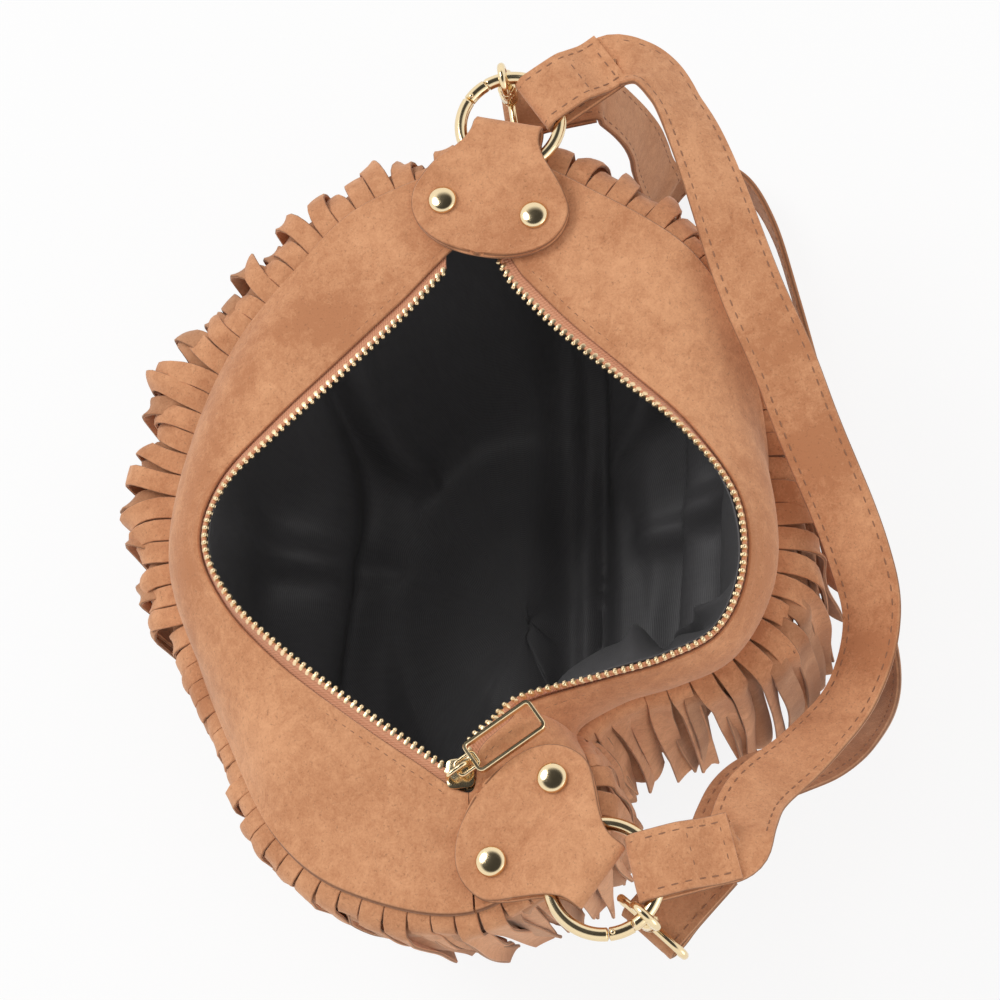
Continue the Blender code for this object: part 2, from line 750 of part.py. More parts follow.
def strap(name, head, tail, route, kind, steps):
    """A strap from one looped end along its route to the other looped end."""
    head_points, head_dir = head
    tail_points, tail_dir = tail
    spots = np.array([(x, y, z) for x, y, z, roll in route]) * MM
    rolls = np.radians([roll for x, y, z, roll in route])
    keys = np.vstack([head_points[-1], spots, tail_points[-1]])
    key_rolls = np.concatenate([[0], rolls, [0]])
    lead = np.vstack([head_points[-2], keys, tail_points[-2]])
    at = np.linspace(1, len(lead) - 2, steps)[1:-1]
    middle = spline(lead, at)
    roll = np.interp(at - 1, np.arange(len(keys)), key_rolls)
    points = np.vstack([head_points, middle, tail_points[::-1]])
    along = np.gradient(middle, axis=0)
    left = np.stack([-along[:, 1], along[:, 0], np.zeros(len(along))], 1)
    left /= np.linalg.norm(left, axis=1)[:, None]
    along /= np.linalg.norm(along, axis=1)[:, None]
    rise = np.cross(along, left)
    turned_side = left * np.cos(roll)[:, None] + rise * np.sin(roll)[:, None]
    head_side = np.cross(UP, head_dir)
    tail_side = -np.cross(UP, tail_dir)
    widths = np.vstack([np.tile(head_side, (len(head_points), 1)), turned_side,
                        np.tile(tail_side, (len(tail_points), 1))]) * STRAP_WIDTH / 2
    mesh = mesh_of(name, *ribbon(points, widths, STRAP_THICK))
    outward(mesh)
    return piece(name, mesh, kind, smooth=30)


def eye_loop(which):
    """Path of the clip strap's end round the bar of a hook's eye."""
    place, bar = hook_place(which)
    ahead = -np.cross(UP, bar) if which == "top" else np.cross(UP, bar)
    turn = EYE_WIRE + GAP + STRAP_THICK / 2
    lap = turn - STRAP_THICK - GAP
    path = [(FLAP_LENGTH, lap), (11 * MM, lap), (7 * MM, -turn * 0.2), (3.5 * MM, -turn)]
    path += [(-turn * math.sin(a), -turn * math.cos(a)) for a in np.linspace(0, math.pi, 7)]
    path += [(6 * MM, turn), (14 * MM, turn), (FLAP_LENGTH, turn)]
    base = np.array([place[0], place[1], EYE_Z])
    return [base + ahead * s + UP * n for s, n in path], ahead


def hook_place(which):
    """Where a hook hangs on its ring, and the direction across the ring there."""
    spec, ahead, side, start_point, centre = tab_values(which)
    radial = flat_direction(spec["heading"] + spec["hook"])
    return centre + radial * RING_RADIUS, radial


def hook(which):
    """A swivel snap hook: jaw with barrel, sprung lever, and the eye that turns in the barrel."""
    place, radial = hook_place(which)
    jaw_centre = np.array([place[0], place[1], JAW_Z])

    def jaw_arc(start, end, count):
        return [jaw_centre + radial * JAW_RADIUS * math.cos(a) + UP * JAW_RADIUS * math.sin(a)
                for a in np.radians(np.linspace(start, end, count))]

    jaw = wire_mesh("hook_" + which, jaw_arc(-90, NOSE_ANGLE, 16), JAW_WIRE)
    lever_tip = NOSE_ANGLE + math.degrees(TIP_GAP / JAW_RADIUS)
    lever = wire_mesh("hook_lever_" + which, jaw_arc(lever_tip, LEVER_FOOT, 6), LEVER_WIRE)
    hinge = Vector(jaw_arc(LEVER_FOOT, LEVER_FOOT, 1)[0])
    for wire, angle in ((jaw, NOSE_ANGLE), (lever, lever_tip)):
        tip = Vector(jaw_arc(angle, angle, 1)[0])
        slope = math.radians(angle)
        slant(wire, tip, tip - hinge, UP * math.cos(slope) - radial * math.sin(slope), JAW_WIRE)
    body = piece("hook_" + which, jaw, "gold", smooth=60)
    spot = (place[0], place[1], BARREL_TOP - BARREL_LENGTH / 2)
    barrel = rod_mesh("barrel_" + which, spot, BARREL_RADIUS, BARREL_LENGTH, 12)
    join(body, "barrel_" + which, barrel)
    bore = 2 * (STEM_DEPTH + GAP)
    cut(body, drill("bore_" + which, (place[0], place[1], BARREL_END), STEM_RADIUS + GAP, bore))

    gate = piece("hook_lever_" + which, lever, "gold", smooth=60)
    for corner in lever.vertices:
        corner.co = corner.co - hinge
    gate.location = hinge

    span, base = EYE_SPAN / 2, np.array([place[0], place[1], 0])
    outline = [(-0.35, EYE_TOP), (0.35, EYE_TOP), (0.85, EYE_TOP - 1.2 * MM),
               (1, EYE_TOP - 3 * MM), (1, EYE_Z + 1.2 * MM), (0.94, EYE_Z), (-0.94, EYE_Z),
               (-1, EYE_Z + 1.2 * MM), (-1, EYE_TOP - 3 * MM), (-0.85, EYE_TOP - 1.2 * MM)]
    loop = [base + radial * s * span + UP * z for s, z in outline]
    eye = piece("hook_eye_" + which, wire_mesh("hook_eye_" + which, loop, EYE_WIRE, cyclic=True),
                "gold", smooth=60)
    length = BARREL_END + STEM_DEPTH - EYE_TOP
    spot = (place[0], place[1], EYE_TOP + length / 2)
    join(eye, "stem_" + which, rod_mesh("stem_" + which, spot, STEM_RADIUS, length))
    return hinge


def box_mesh(name, size, middle=(0, 0, 0)):
    """A box of a size about a middle."""
    work = bmesh.new()
    bmesh.ops.create_cube(work, size=1, matrix=Matrix.Translation(middle) @ Matrix.Diagonal(
        (*size, 1)))
    mesh = bpy.data.meshes.new(name)
    work.to_mesh(mesh)
    work.free()
    return mesh


def slider_place():
    """The slider's middle and the zip's direction there."""
    ends = rim_line(np.array([BOTTOM_STATION - STRAND_END, BOTTOM_STATION + STRAND_END]))
    return ends.mean(axis=0) + np.array([1.0 * MM, 0, 0])


def slider():
    """The zip slider: two plates on a neck, with the bridge that holds the pull."""
    place = slider_place()
    low = RIM_HEIGHT - 0.1 * MM - BEAD_HEIGHT - GAP
    high = YOKE_TOP + GAP
    plate = (SLIDER_LENGTH, SLIDER_WIDTH, SLIDER_PLATE)
    base = box_mesh("zip_slider", plate, (place[0], place[1], high + SLIDER_PLATE / 2))
    body = piece("zip_slider", base, "gold", smooth=0)
    join(body, "slider_foot", box_mesh("slider_foot", plate,
                                       (place[0], place[1], low - SLIDER_PLATE / 2)))
    neck = (2.2 * MM, 2.2 * MM, high - low + SLIDER_PLATE)
    join(body, "slider_neck", box_mesh("slider_neck", neck,
                                       (place[0] + 3 * MM, place[1], (low + high) / 2)))
    deck = high + SLIDER_PLATE
    crest = TAB_TOP + GAP + PULL_THICK + GAP + BRIDGE_WIRE
    line = [(-1, deck - 0.4 * MM), (-0.94, crest - 1.2 * MM), (-0.65, crest), (0.65, crest),
            (0.94, crest - 1.2 * MM), (1, deck - 0.4 * MM)]
    bar = [place * (1, 1, 0) + flat_direction(PULL_HEADING) * x * BRIDGE_SPAN / 2 + UP * z
           for x, z in line]
    join(body, "slider_bridge", wire_mesh("slider_bridge", bar, BRIDGE_WIRE))
    return place, crest


def pull(place, crest):
    """The open rectangular pull, hinged in the bridge."""
    ahead = flat_direction(PULL_HEADING)
    side = flat_direction(PULL_HEADING + math.pi / 2)
    level = crest - BRIDGE_WIRE - GAP - PULL_THICK / 2
    hinge = np.array([place[0], place[1], level])
    reach = PULL_LENGTH
    outer = [(-PULL_EYE, -0.30), (2.5 * MM, -0.5), (reach - 1 * MM, -0.5), (reach, -0.42),
             (reach, 0.42), (reach - 1 * MM, 0.5), (2.5 * MM, 0.5), (-PULL_EYE, 0.30)]
    slot = [(PULL_EYE, -0.16), (2.5 * MM, -0.5), (reach - 3 * MM, -0.5), (reach - 3 * MM, 0.5),
            (2.5 * MM, 0.5), (PULL_EYE, 0.16)]

    inner_width = PULL_WIDTH - 2 * PULL_BAR

    def prism(name, outline, width, height):
        """A level prism of an outline whose second coordinate is a share of the width."""
        rows = [ahead * u + side * width * w + UP * z
                for z in (-height / 2, height / 2) for u, w in outline]
        size = len(outline)
        faces = [tuple(range(size))[::-1], tuple(range(size, 2 * size))]
        faces += [(k, (k + 1) % size, size + (k + 1) % size, size + k) for k in range(size)]
        mesh = mesh_of(name, rows, faces)
        outward(mesh)
        return mesh

    item = piece("zip_pull", prism("zip_pull", outer, PULL_WIDTH, PULL_THICK), "gold", smooth=0)
    item.location = hinge
    window = helper("pull_window", prism("pull_window", slot, inner_width, 2 * PULL_THICK))
    window.location = hinge
    cut(item, window)
    return hinge


def build():
    """Make every piece of the bag."""
    yokes = []
    for side, at in halves(PANEL_END).items():
        yokes.append(yoke(side, at))
        body_panel(side, at)
        for layer in (0, 1):
            fringe(side, layer, PANEL_END)
        stringer(side, strand_stations(at))
    sole()
    lining()
    hinges = {}
    for which in TABS:
        rivets(which, yokes + [tab(which)])
        centre, hinges["ring_gate_" + which] = ring(which)
        hinges["hook_lever_" + which] = hook(which)
    ends = {w: strap_loop(tab_values(w)[4], TABS[w]["heading"] + TABS[w]["strap"]) for w in TABS}
    strap("shoulder_strap", ends["top"], ends["bottom"], SHOULDER_ROUTE, "suede", 44)
    strap("clip_strap", eye_loop("top"), eye_loop("bottom"), CLIP_ROUTE, "suede_dark", 56)
    place, crest = slider()
    hinges["zip_pull"] = pull(place, crest)
    for name, spot in hinges.items():
        print(name, [round(float(c), 5) for c in spot])


build()
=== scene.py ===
# %% [markdown]
# # A fringed suede bag, seen from above
#
# The bag stands open on its base. Its mouth is a zip drawn wide apart, set in a suede yoke. Two
# layers of fringe hang from the yoke's lower seam, and a suede tab with two rivets holds a ring
# at each end of the zip. The CAD model fixes where everything is. This file dresses it.

# %% Load the frame
import math

import bpy
import numpy as np
from mathutils import Matrix


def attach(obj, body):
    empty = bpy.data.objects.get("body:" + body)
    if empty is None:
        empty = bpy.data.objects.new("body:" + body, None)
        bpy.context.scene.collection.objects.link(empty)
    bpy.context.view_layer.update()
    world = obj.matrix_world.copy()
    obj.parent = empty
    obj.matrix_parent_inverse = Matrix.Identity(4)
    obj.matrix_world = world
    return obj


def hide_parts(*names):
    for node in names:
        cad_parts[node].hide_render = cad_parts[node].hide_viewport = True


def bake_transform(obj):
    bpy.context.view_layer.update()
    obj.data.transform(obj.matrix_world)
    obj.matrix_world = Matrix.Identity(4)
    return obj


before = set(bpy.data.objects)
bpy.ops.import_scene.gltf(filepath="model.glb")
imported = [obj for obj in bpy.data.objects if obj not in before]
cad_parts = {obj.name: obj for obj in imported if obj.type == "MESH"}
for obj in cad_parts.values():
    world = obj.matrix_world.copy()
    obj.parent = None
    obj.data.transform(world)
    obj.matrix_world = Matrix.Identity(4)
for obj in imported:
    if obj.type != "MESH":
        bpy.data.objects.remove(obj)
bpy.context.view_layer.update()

# %% [markdown]
# ## Camera, floor and light
#
# A product photograph like this one is taken from high above with a long lens, so the mouth looks
# almost flat on. The camera is placed by its bearing, height angle and a roll, and its field of
# view by the focal length in pixels.

# %% Camera
MM = 0.001
PICTURE = 1000
FOCAL_PX = 2560
TARGET = np.array([0.0, 0.0, 0.150])
BEARING, HEIGHT_ANGLE, ROLL = (math.radians(angle) for angle in (113, 69.5, -27.5))
DISTANCE = 0.78
UP = np.array([0, 0, 1.0])


def camera_frame():
    """Place, right, up and forward of the camera.

    Forward drops by the height angle and heads along the bearing, which is measured from +Y
    towards -X. Right is forward cross +Z, up is right cross forward, and the roll turns both
    about forward. The place is the target minus forward times the distance."""
    forward = np.array([-math.cos(HEIGHT_ANGLE) * math.sin(BEARING),
                        math.cos(HEIGHT_ANGLE) * math.cos(BEARING), -math.sin(HEIGHT_ANGLE)])
    right = np.cross(forward, UP)
    right /= np.linalg.norm(right)
    up = np.cross(right, forward)
    turned_right = right * math.cos(ROLL) + up * math.sin(ROLL)
    turned_up = up * math.cos(ROLL) - right * math.sin(ROLL)
    return TARGET - forward * DISTANCE, turned_right, turned_up, forward


def aimed(place, right, up, forward):
    """The matrix of a camera or lamp, which looks along its own -Z."""
    rows = np.vstack([np.column_stack([right, up, -forward, place]), [0, 0, 0, 1]])
    return Matrix([[*row] for row in rows])


place, right, up, forward = camera_frame()
lens = bpy.data.cameras.new("camera")
lens.sensor_width = 36
lens.lens = FOCAL_PX / PICTURE * lens.sensor_width
lens.clip_start = 0.01
camera = bpy.data.objects.new("camera", lens)
camera.matrix_world = aimed(place, right, up, forward)
bpy.context.scene.collection.objects.link(camera)
bpy.context.scene.camera = camera
bpy.context.scene.view_settings.view_transform = "Standard"
print("camera at", np.round(place, 4))

# %% [markdown]
# ## Writing materials as sums
#
# A shader is a network of small nodes, and dragging dozens of them about is slow to read back.
# Here a small class stands for one output socket, so `1 - mask` or `grain * 0.3` adds the Math
# node by itself. Every other node comes from one method that takes its type, its settings and
# what goes into its sockets.


# %% Sockets that can be added and multiplied
class Value:
    """One output socket in a material."""

    def __init__(self, recipe, socket):
        self.recipe, self.socket = recipe, socket

    def sum_of(self, operation, *terms):
        """A Math node on the given terms."""
        return self.recipe.node("ShaderNodeMath", {"operation": operation}, dict(enumerate(terms)))

    def __add__(self, other):
        return self.sum_of("ADD", self, other)

    def __sub__(self, other):
        return self.sum_of("SUBTRACT", self, other)

    def __rsub__(self, other):
        return self.sum_of("SUBTRACT", other, self)

    def __mul__(self, other):
        return self.sum_of("MULTIPLY", self, other)

    __radd__, __rmul__ = __add__, __mul__


class Recipe:
    """A node tree under construction."""

    def __init__(self, tree):
        self.tree = tree

    def feed(self, socket, value):
        """Link a Value to a socket, or set the socket to a plain number, colour or vector."""
        if isinstance(value, Value):
            self.tree.links.new(value.socket, socket)
        else:
            socket.default_value = value

    def node(self, kind, settings=None, sockets=None, output=0):
        """A node of a type: settings first, then its sockets, and one output as a Value."""
        node = self.tree.nodes.new(kind)
        for name, value in (settings or {}).items():
            setattr(node, name, value)
        for name, value in (sockets or {}).items():
            self.feed(node.inputs[name], value)
        return Value(self, node.outputs[output])

    def mix(self, factor, low, high):
        """A blend of two colours."""
        return self.node("ShaderNodeMix", {"data_type": "RGBA"}, {0: factor, 6: low, 7: high}, 2)

    def step(self, value, start, end):
        """0 below start, 1 above end, and a smooth rise between them."""
        return self.node("ShaderNodeMapRange", {"interpolation_type": "SMOOTHSTEP"},
                         {"Value": value, "From Min": start, "From Max": end})

    def noise(self, where, size, detail=3.0, roughness=0.5, distortion=0.0):
        """Noise from 0 to 1 whose lumps are about as wide as size, in metres."""
        return self.node("ShaderNodeTexNoise", {}, {
            "Vector": where, "Scale": 0.5 / size, "Detail": detail, "Roughness": roughness,
            "Distortion": distortion})

    def scaled(self, where, factors):
        """A place multiplied by three factors."""
        return self.node("ShaderNodeVectorMath", {"operation": "MULTIPLY"}, {0: where, 1: factors})


def finish(name, constants, varying):
    """A Principled material: constants go on its own sockets, varying(recipe) gives the links."""
    material = bpy.data.materials.new(name)
    material.use_nodes = True
    recipe = Recipe(material.node_tree)
    shader = material.node_tree.nodes["Principled BSDF"]
    for socket, value in {**constants, **varying(recipe)}.items():
        recipe.feed(shader.inputs[socket], value)
    return material


# %% [markdown]
# ## Suede, satin, zip tape, thread and gold plate
#
# Suede is leather with its flesh side brushed up: no gloss, a soft cloudy colour where the nap
# lies one way or the other, and a fine dusty grain. Cut edges are darker, because they show the
# fibres end on. The pieces carry a "flow" attribute: distance along, distance across, and 1 at a
# cut edge. The satin lining is nearly black with a slight gloss, the tape is woven in ribs, and
# the hardware is a pale gold plate that only shows what it reflects.
# A second, darker copy of the suede is painted shade, for the pieces that lie in shade: the inner
# fringe, the body, the base and the second strap.


# %% The finishes
def suede(name, light, shade, edge):
    """Suede: two clouded tones, a finer mottle, dark specks, and a darker cut edge."""
    def varying(recipe):
        where = recipe.node("ShaderNodeTexCoord", output=3)
        flow = recipe.node("ShaderNodeAttribute", {"attribute_name": "flow"}, output=1)
        cut = recipe.node("ShaderNodeSeparateXYZ", {}, {0: flow}, 2)
        patches = recipe.step(recipe.noise(where, 42 * MM, 3.0, 0.6, 0.8), 0.50, 0.70)
        clouds = recipe.noise(where, 16 * MM, 4.0, 0.6)
        mottle = recipe.noise(where, 2.2 * MM, 5.0, 0.7, 0.6)
        nap = recipe.noise(where, 0.35 * MM, 3.0, 0.7)
        tone = clouds * 0.75 + mottle * 0.9 + nap * 0.6 - 0.62
        colour = recipe.mix(recipe.step(tone, 0.1, 0.9) - patches * 0.55, shade, light)
        specks = recipe.step(recipe.noise(where, 0.5 * MM, 3.0, 0.75), 0.56, 0.72) * 0.42
        colour = recipe.mix(specks, colour, edge)
        colour = recipe.mix(recipe.step(cut, 0.25, 0.95) * 0.8, colour, edge)
        height = nap * 0.5 + mottle * 0.8 + clouds * 0.6
        bump = recipe.node("ShaderNodeBump", {}, {"Strength": 0.55, "Distance": 0.5 * MM,
                                                  "Height": height})
        return {"Base Color": colour, "Normal": bump, "Roughness": 0.82 + mottle * 0.15}
    return finish(name, {"Sheen Weight": 0.38, "Sheen Roughness": 0.45,
                         "Sheen Tint": (1.0, 0.84, 0.70, 1), "Specular IOR Level": 0.15}, varying)


def satin():
    """Nearly black satin: fine crossing threads in the colour, the gloss and the bump."""
    def varying(recipe):
        flow = recipe.node("ShaderNodeAttribute", {"attribute_name": "flow"}, output=1)
        where = recipe.node("ShaderNodeTexCoord", output=3)
        thread = recipe.node("ShaderNodeTexWave", {"bands_direction": "Y"}, {
            "Vector": flow, "Scale": 1 / (2.4 * MM), "Distortion": 1.2, "Detail": 2.0,
            "Detail Scale": 3.0}, 1)
        slub = recipe.noise(recipe.scaled(flow, (1.0, 0.15, 0.0)), 0.8 * MM, 3.0, 0.6)
        cloud = recipe.noise(where, 30 * MM, 2.0)
        colour = recipe.mix(thread * 0.5 + slub * 0.4, (0.060, 0.058, 0.060, 1),
                            (0.135, 0.131, 0.135, 1))
        bump = recipe.node("ShaderNodeBump", {}, {"Strength": 0.25, "Distance": 0.15 * MM,
                                                  "Height": thread + slub})
        return {"Base Color": colour, "Normal": bump, "Roughness": 0.40 + cloud * 0.16}
    return finish("lining_satin", {"Sheen Weight": 0.06, "Sheen Roughness": 0.3}, varying)


def woven_tape():
    """Zip tape: ribs across the tape, threads along it, and a worn lighter tone here and there."""
    def varying(recipe):
        flow = recipe.node("ShaderNodeAttribute", {"attribute_name": "flow"}, output=1)
        ribs = recipe.node("ShaderNodeTexWave", {"bands_direction": "X"}, {
            "Vector": flow, "Scale": 1 / (3.0 * MM), "Distortion": 0.5}, 1)
        threads = recipe.node("ShaderNodeTexWave", {"bands_direction": "Y"}, {
            "Vector": flow, "Scale": 1 / (4.2 * MM), "Distortion": 0.5}, 1)
        cloud = recipe.noise(flow, 6 * MM, 3.0)
        colour = recipe.mix(ribs * 0.4 + threads * 0.25 + cloud * 0.4, (0.56, 0.215, 0.105, 1),
                            (0.90, 0.44, 0.26, 1))
        bump = recipe.node("ShaderNodeBump", {}, {"Strength": 0.6, "Distance": 0.25 * MM,
                                                  "Height": ribs + threads * 0.6})
        return {"Base Color": colour, "Normal": bump, "Roughness": 0.75 + cloud * 0.15}
    return finish("woven_tape", {"Sheen Weight": 0.15}, varying)


def thread_finish():
    """Sewing thread: a brown a few shades under the suede, twisted every millimetre or so."""
    def varying(recipe):
        where = recipe.node("ShaderNodeTexCoord", output=3)
        twist = recipe.noise(where, 0.4 * MM, 2.0)
        colour = recipe.mix(twist, (0.22, 0.098, 0.048, 1), (0.40, 0.19, 0.10, 1))
        return {"Base Color": colour, "Roughness": 0.6 + twist * 0.2}
    return finish("thread", {"Sheen Weight": 0.1}, varying)


def gold_plate(name, shine, tones):
    """Polished pale gold: a mirror with a little haze, and faint tone changes in the plate."""
    def varying(recipe):
        where = recipe.node("ShaderNodeTexCoord", output=3)
        haze = recipe.noise(where, 2.5 * MM, 4.0, 0.6)
        scratches = recipe.noise(recipe.scaled(where, (1.0, 1.0, 0.12)), 0.5 * MM, 2.0)
        colour = recipe.mix(haze, *tones)
        bump = recipe.node("ShaderNodeBump", {}, {"Strength": 0.04, "Distance": 0.1 * MM,
                                                  "Height": scratches})
        return {"Base Color": colour, "Normal": bump, "Roughness": shine + haze * 0.12}
    return finish(name, {"Metallic": 1.0}, varying)


CUT_EDGE = (0.19, 0.085, 0.045, 1)
FINISH = {
    "suede": suede("tan_suede", (0.80, 0.405, 0.212, 1), (0.53, 0.225, 0.106, 1), CUT_EDGE),
    # The same suede in darker tones: painted shade for the pieces that lie in shade.
    "suede_dark": suede("painted_shade_suede", (0.62, 0.315, 0.170, 1), (0.42, 0.185, 0.090, 1), CUT_EDGE),
    "lining": satin(), "tape": woven_tape(), "thread": thread_finish(),
    "gold": gold_plate("gold_plate", 0.10, ((0.80, 0.62, 0.36, 1), (0.90, 0.74, 0.48, 1))),
    "teeth": gold_plate("tumbled_brass", 0.30, ((0.86, 0.63, 0.36, 1), (0.98, 0.80, 0.52, 1))),
}
print("finishes", sorted(FINISH))


# %% [markdown]
# The floor is white paper. For the camera it is mixed with plain white light, so that the
# background stays white while the bag's shadow still falls on it. The sky is a studio: pale all
# round and darker overhead, which is what gives polished metal its dark middle and bright edges.
# The main light is a round lamp from the upper left of the picture, with a weaker one opposite.


# %% Floor, sky and lamps
def white_floor():
    """A square floor just under the bag, part of the stage and not of the object."""
    reach, drop = 3.0, -0.3 * MM
    corners = [(x, y, drop) for x, y in ((-reach, -reach), (reach, -reach), (reach, reach),
                                         (-reach, reach))]
    mesh = bpy.data.meshes.new("floor")
    mesh.from_pydata(corners, [], [(0, 1, 2, 3)])
    floor = bpy.data.objects.new("floor", mesh)
    bpy.context.scene.collection.objects.link(floor)
    material = bpy.data.materials.new("white_paper")
    material.use_nodes = True
    recipe = Recipe(material.node_tree)
    paper = material.node_tree.nodes["Principled BSDF"]
    paper.inputs["Base Color"].default_value = (0.93, 0.93, 0.93, 1)
    paper.inputs["Roughness"].default_value = 0.9
    seen = recipe.node("ShaderNodeLightPath", output=0)
    mirrored = recipe.node("ShaderNodeLightPath", output=3)
    glow = recipe.node("ShaderNodeEmission", {}, {"Color": (1, 1, 1, 1), "Strength": 1.0})
    both = recipe.node("ShaderNodeMixShader", {}, {
        0: (seen + mirrored) * 0.86, 1: Value(recipe, paper.outputs[0]), 2: glow})
    recipe.feed(material.node_tree.nodes["Material Output"].inputs["Surface"], both)
    mesh.materials.append(material)
    return floor


def studio_sky(plain, side, top):
    """A world that lights evenly at the plain level, but is mirrored as a studio with bands.

    In mirrors its brightness falls from the side value low down to the top value overhead. The
    camera sees it plain white."""
    world = bpy.data.worlds.new("studio")
    bpy.context.scene.world = world
    world.use_nodes = True
    recipe = Recipe(world.node_tree)
    direction = recipe.node("ShaderNodeTexCoord", output=0)
    height = recipe.node("ShaderNodeSeparateXYZ", {}, {0: direction}, 2)
    level = recipe.node("ShaderNodeMapRange", {"interpolation_type": "SMOOTHSTEP"}, {
        "Value": height, "From Min": 0.70, "From Max": 0.88, "To Min": side, "To Max": top})
    mirrored = recipe.node("ShaderNodeLightPath", output=3)
    seen = recipe.node("ShaderNodeLightPath", output=0)
    level = seen + (1 - seen) * (level * mirrored + plain * (1 - mirrored))
    sky = world.node_tree.nodes["Background"]
    sky.inputs["Color"].default_value = (1, 1, 1, 1)
    recipe.feed(sky.inputs["Strength"], level)


def lamp(name, sideways, upwards, back, size, power):
    """A round area lamp placed from the bag in the camera's own directions, facing the bag."""
    light = bpy.data.lights.new(name, "AREA")
    light.shape, light.size, light.energy = "DISK", size, power
    item = bpy.data.objects.new(name, light)
    spot = TARGET + right * sideways + up * upwards - forward * back
    ahead = (TARGET - spot) / np.linalg.norm(TARGET - spot)
    across = np.cross(ahead, UP)
    across /= np.linalg.norm(across)
    item.matrix_world = aimed(spot, across, np.cross(across, ahead), ahead)
    bpy.context.scene.collection.objects.link(item)


white_floor()
studio_sky(0.71, 1.05, 0.05)
lamp("key", -1.0, 0.75, 0.95, 0.75, 7.5)
lamp("fill", 1.1, -0.5, 0.6, 0.9, 2.5)

# %% [markdown]
# ## Building with whole arrays
#
# Every surface below is a grid of points worked out at once with numpy: a formula of two
# parameters gives an array of rows and columns, and one function turns any grid into faces. A
# shape is a set of points, its faces and the flow values that its material reads.


# %% Grids, sheets, wires, turned shapes and rounded blocks
def unit(vectors):
    """Vectors divided by their lengths."""
    return vectors / np.maximum(np.linalg.norm(vectors, axis=-1, keepdims=True), 1e-12)


def quads(rows, columns, rows_closed=False, columns_closed=False):
    """Corner numbers of the quads between neighbouring rows and columns of a grid."""
    row = np.arange(rows if rows_closed else rows - 1)[:, None]
    column = np.arange(columns if columns_closed else columns - 1)[None, :]
    below, beside = (row + 1) % rows * columns, (column + 1) % columns
    corners = np.broadcast_arrays(row * columns + column, row * columns + beside,
                                  below + beside, below + column)
    return np.stack(corners, -1).reshape(-1, 4)


def repeated(faces, copies, size):
    """The same faces for several copies whose points follow each other."""
    return (faces[None] + np.arange(copies)[:, None, None] * size).reshape(-1, faces.shape[1])


def outward(shape):
    """Turn a closed shape's faces outwards, told from the sign of the volume they enclose.

    The volume is a sixth of the sum of a . (b x c) over the triangles a, b, c of every face."""
    points, faces, flow = shape
    volume = 0
    for group in faces:
        first = points[group[:, 0]]
        for k in range(1, group.shape[1] - 1):
            volume += np.sum(first * np.cross(points[group[:, k]], points[group[:, k + 1]]))
    return shape if volume > 0 else (points, [group[:, ::-1] for group in faces], flow)


def together(*shapes):
    """Several shapes as one."""
    start, points, faces, flow = 0, [], [], []
    for shape in shapes:
        points.append(shape[0])
        faces += [group + start for group in shape[1]]
        flow.append(shape[2])
        start += len(shape[0])
    return np.concatenate(points), faces, np.concatenate(flow)


def piece(name, shape, kind, body="bag", nodes=(), smooth=50):
    """A finished object from a shape: mesh, flow attribute, material, body and CAD nodes."""
    points, faces, flow = shape
    mesh = bpy.data.meshes.new(name)
    mesh.from_pydata(points.tolist(), [], [face for group in faces for face in group.tolist()])
    mesh.attributes.new("flow", "FLOAT_VECTOR", "POINT").data.foreach_set(
        "vector", np.asarray(flow, np.float32).ravel())
    mesh.shade_smooth()
    mesh.set_sharp_from_angle(angle=math.radians(smooth))
    mesh.materials.append(FINISH[kind])
    item = bpy.data.objects.new(name, mesh)
    bpy.context.scene.collection.objects.link(item)
    if nodes:
        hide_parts(*nodes)
    if body:
        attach(item, body)
    print(name, "points", len(points))
    return item


def distances(points, axis):
    """Running distance along one axis of a grid of points, starting at 0."""
    steps = np.linalg.norm(np.diff(points, axis=axis), axis=-1)
    start = np.zeros_like(np.take(steps, [0], axis=axis))
    return np.cumsum(np.concatenate([start, steps], axis=axis), axis=axis)


def sheet(middle, thick, rim=0.55, closed=False):
    """Closed shells round a batch of middle grids [sheet, along, across].

    The normal is the cross product of the grid's two directions. The shell is the middle plus
    and minus half the thickness along it, and each edge gets one more row that stands out by
    rim times half the thickness, so the edge is rounded. Flow is along, across, and 1 there."""
    grid = middle if middle.ndim == 4 else middle[None]
    along = np.roll(grid, -1, 1) - np.roll(grid, 1, 1) if closed else np.gradient(grid, axis=1)
    half = np.broadcast_to(np.asarray(thick, float)[..., None] / 2, grid.shape[:3] + (1,))
    lift = unit(np.cross(np.gradient(grid, axis=2), along)) * half
    near = grid[:, :, 0] + unit(grid[:, :, 0] - grid[:, :, 1]) * half[:, :, 0] * rim
    far = grid[:, :, -1] + unit(grid[:, :, -1] - grid[:, :, -2]) * half[:, :, -1] * rim
    loops = np.concatenate([grid + lift, far[:, :, None], (grid - lift)[:, :, ::-1],
                            near[:, :, None]], axis=2)
    count, rows, size = loops.shape[:3]
    width = grid.shape[2]
    faces = [repeated(quads(rows, size, closed, True), count, rows * size)]
    if not closed:
        k = np.arange(width - 1)
        cap = np.stack([k, k + 1, 2 * width - k - 1, 2 * width - k], 1)
        corners = np.array([[width - 1, width, width + 1], [2 * width, 2 * width + 1, 0]])
        last = (rows - 1) * size
        faces += [repeated(cap[:, ::-1], count, rows * size),
                  repeated(cap + last, count, rows * size),
                  repeated(corners[:, ::-1], count, rows * size),
                  repeated(corners + last, count, rows * size)]
    run, reach = distances(grid, 1), distances(grid, 2)
    edge = np.zeros_like(run)
    table = np.stack([run, reach, edge], -1)
    rims = [table[:, :, -1].copy(), table[:, :, 0].copy()]
    for row in rims:
        row[..., 2] = 1
    flow = np.concatenate([table, rims[0][:, :, None], table[:, :, ::-1], rims[1][:, :, None]], 2)
    return outward((loops.reshape(-1, 3), faces, flow.reshape(-1, 3)))


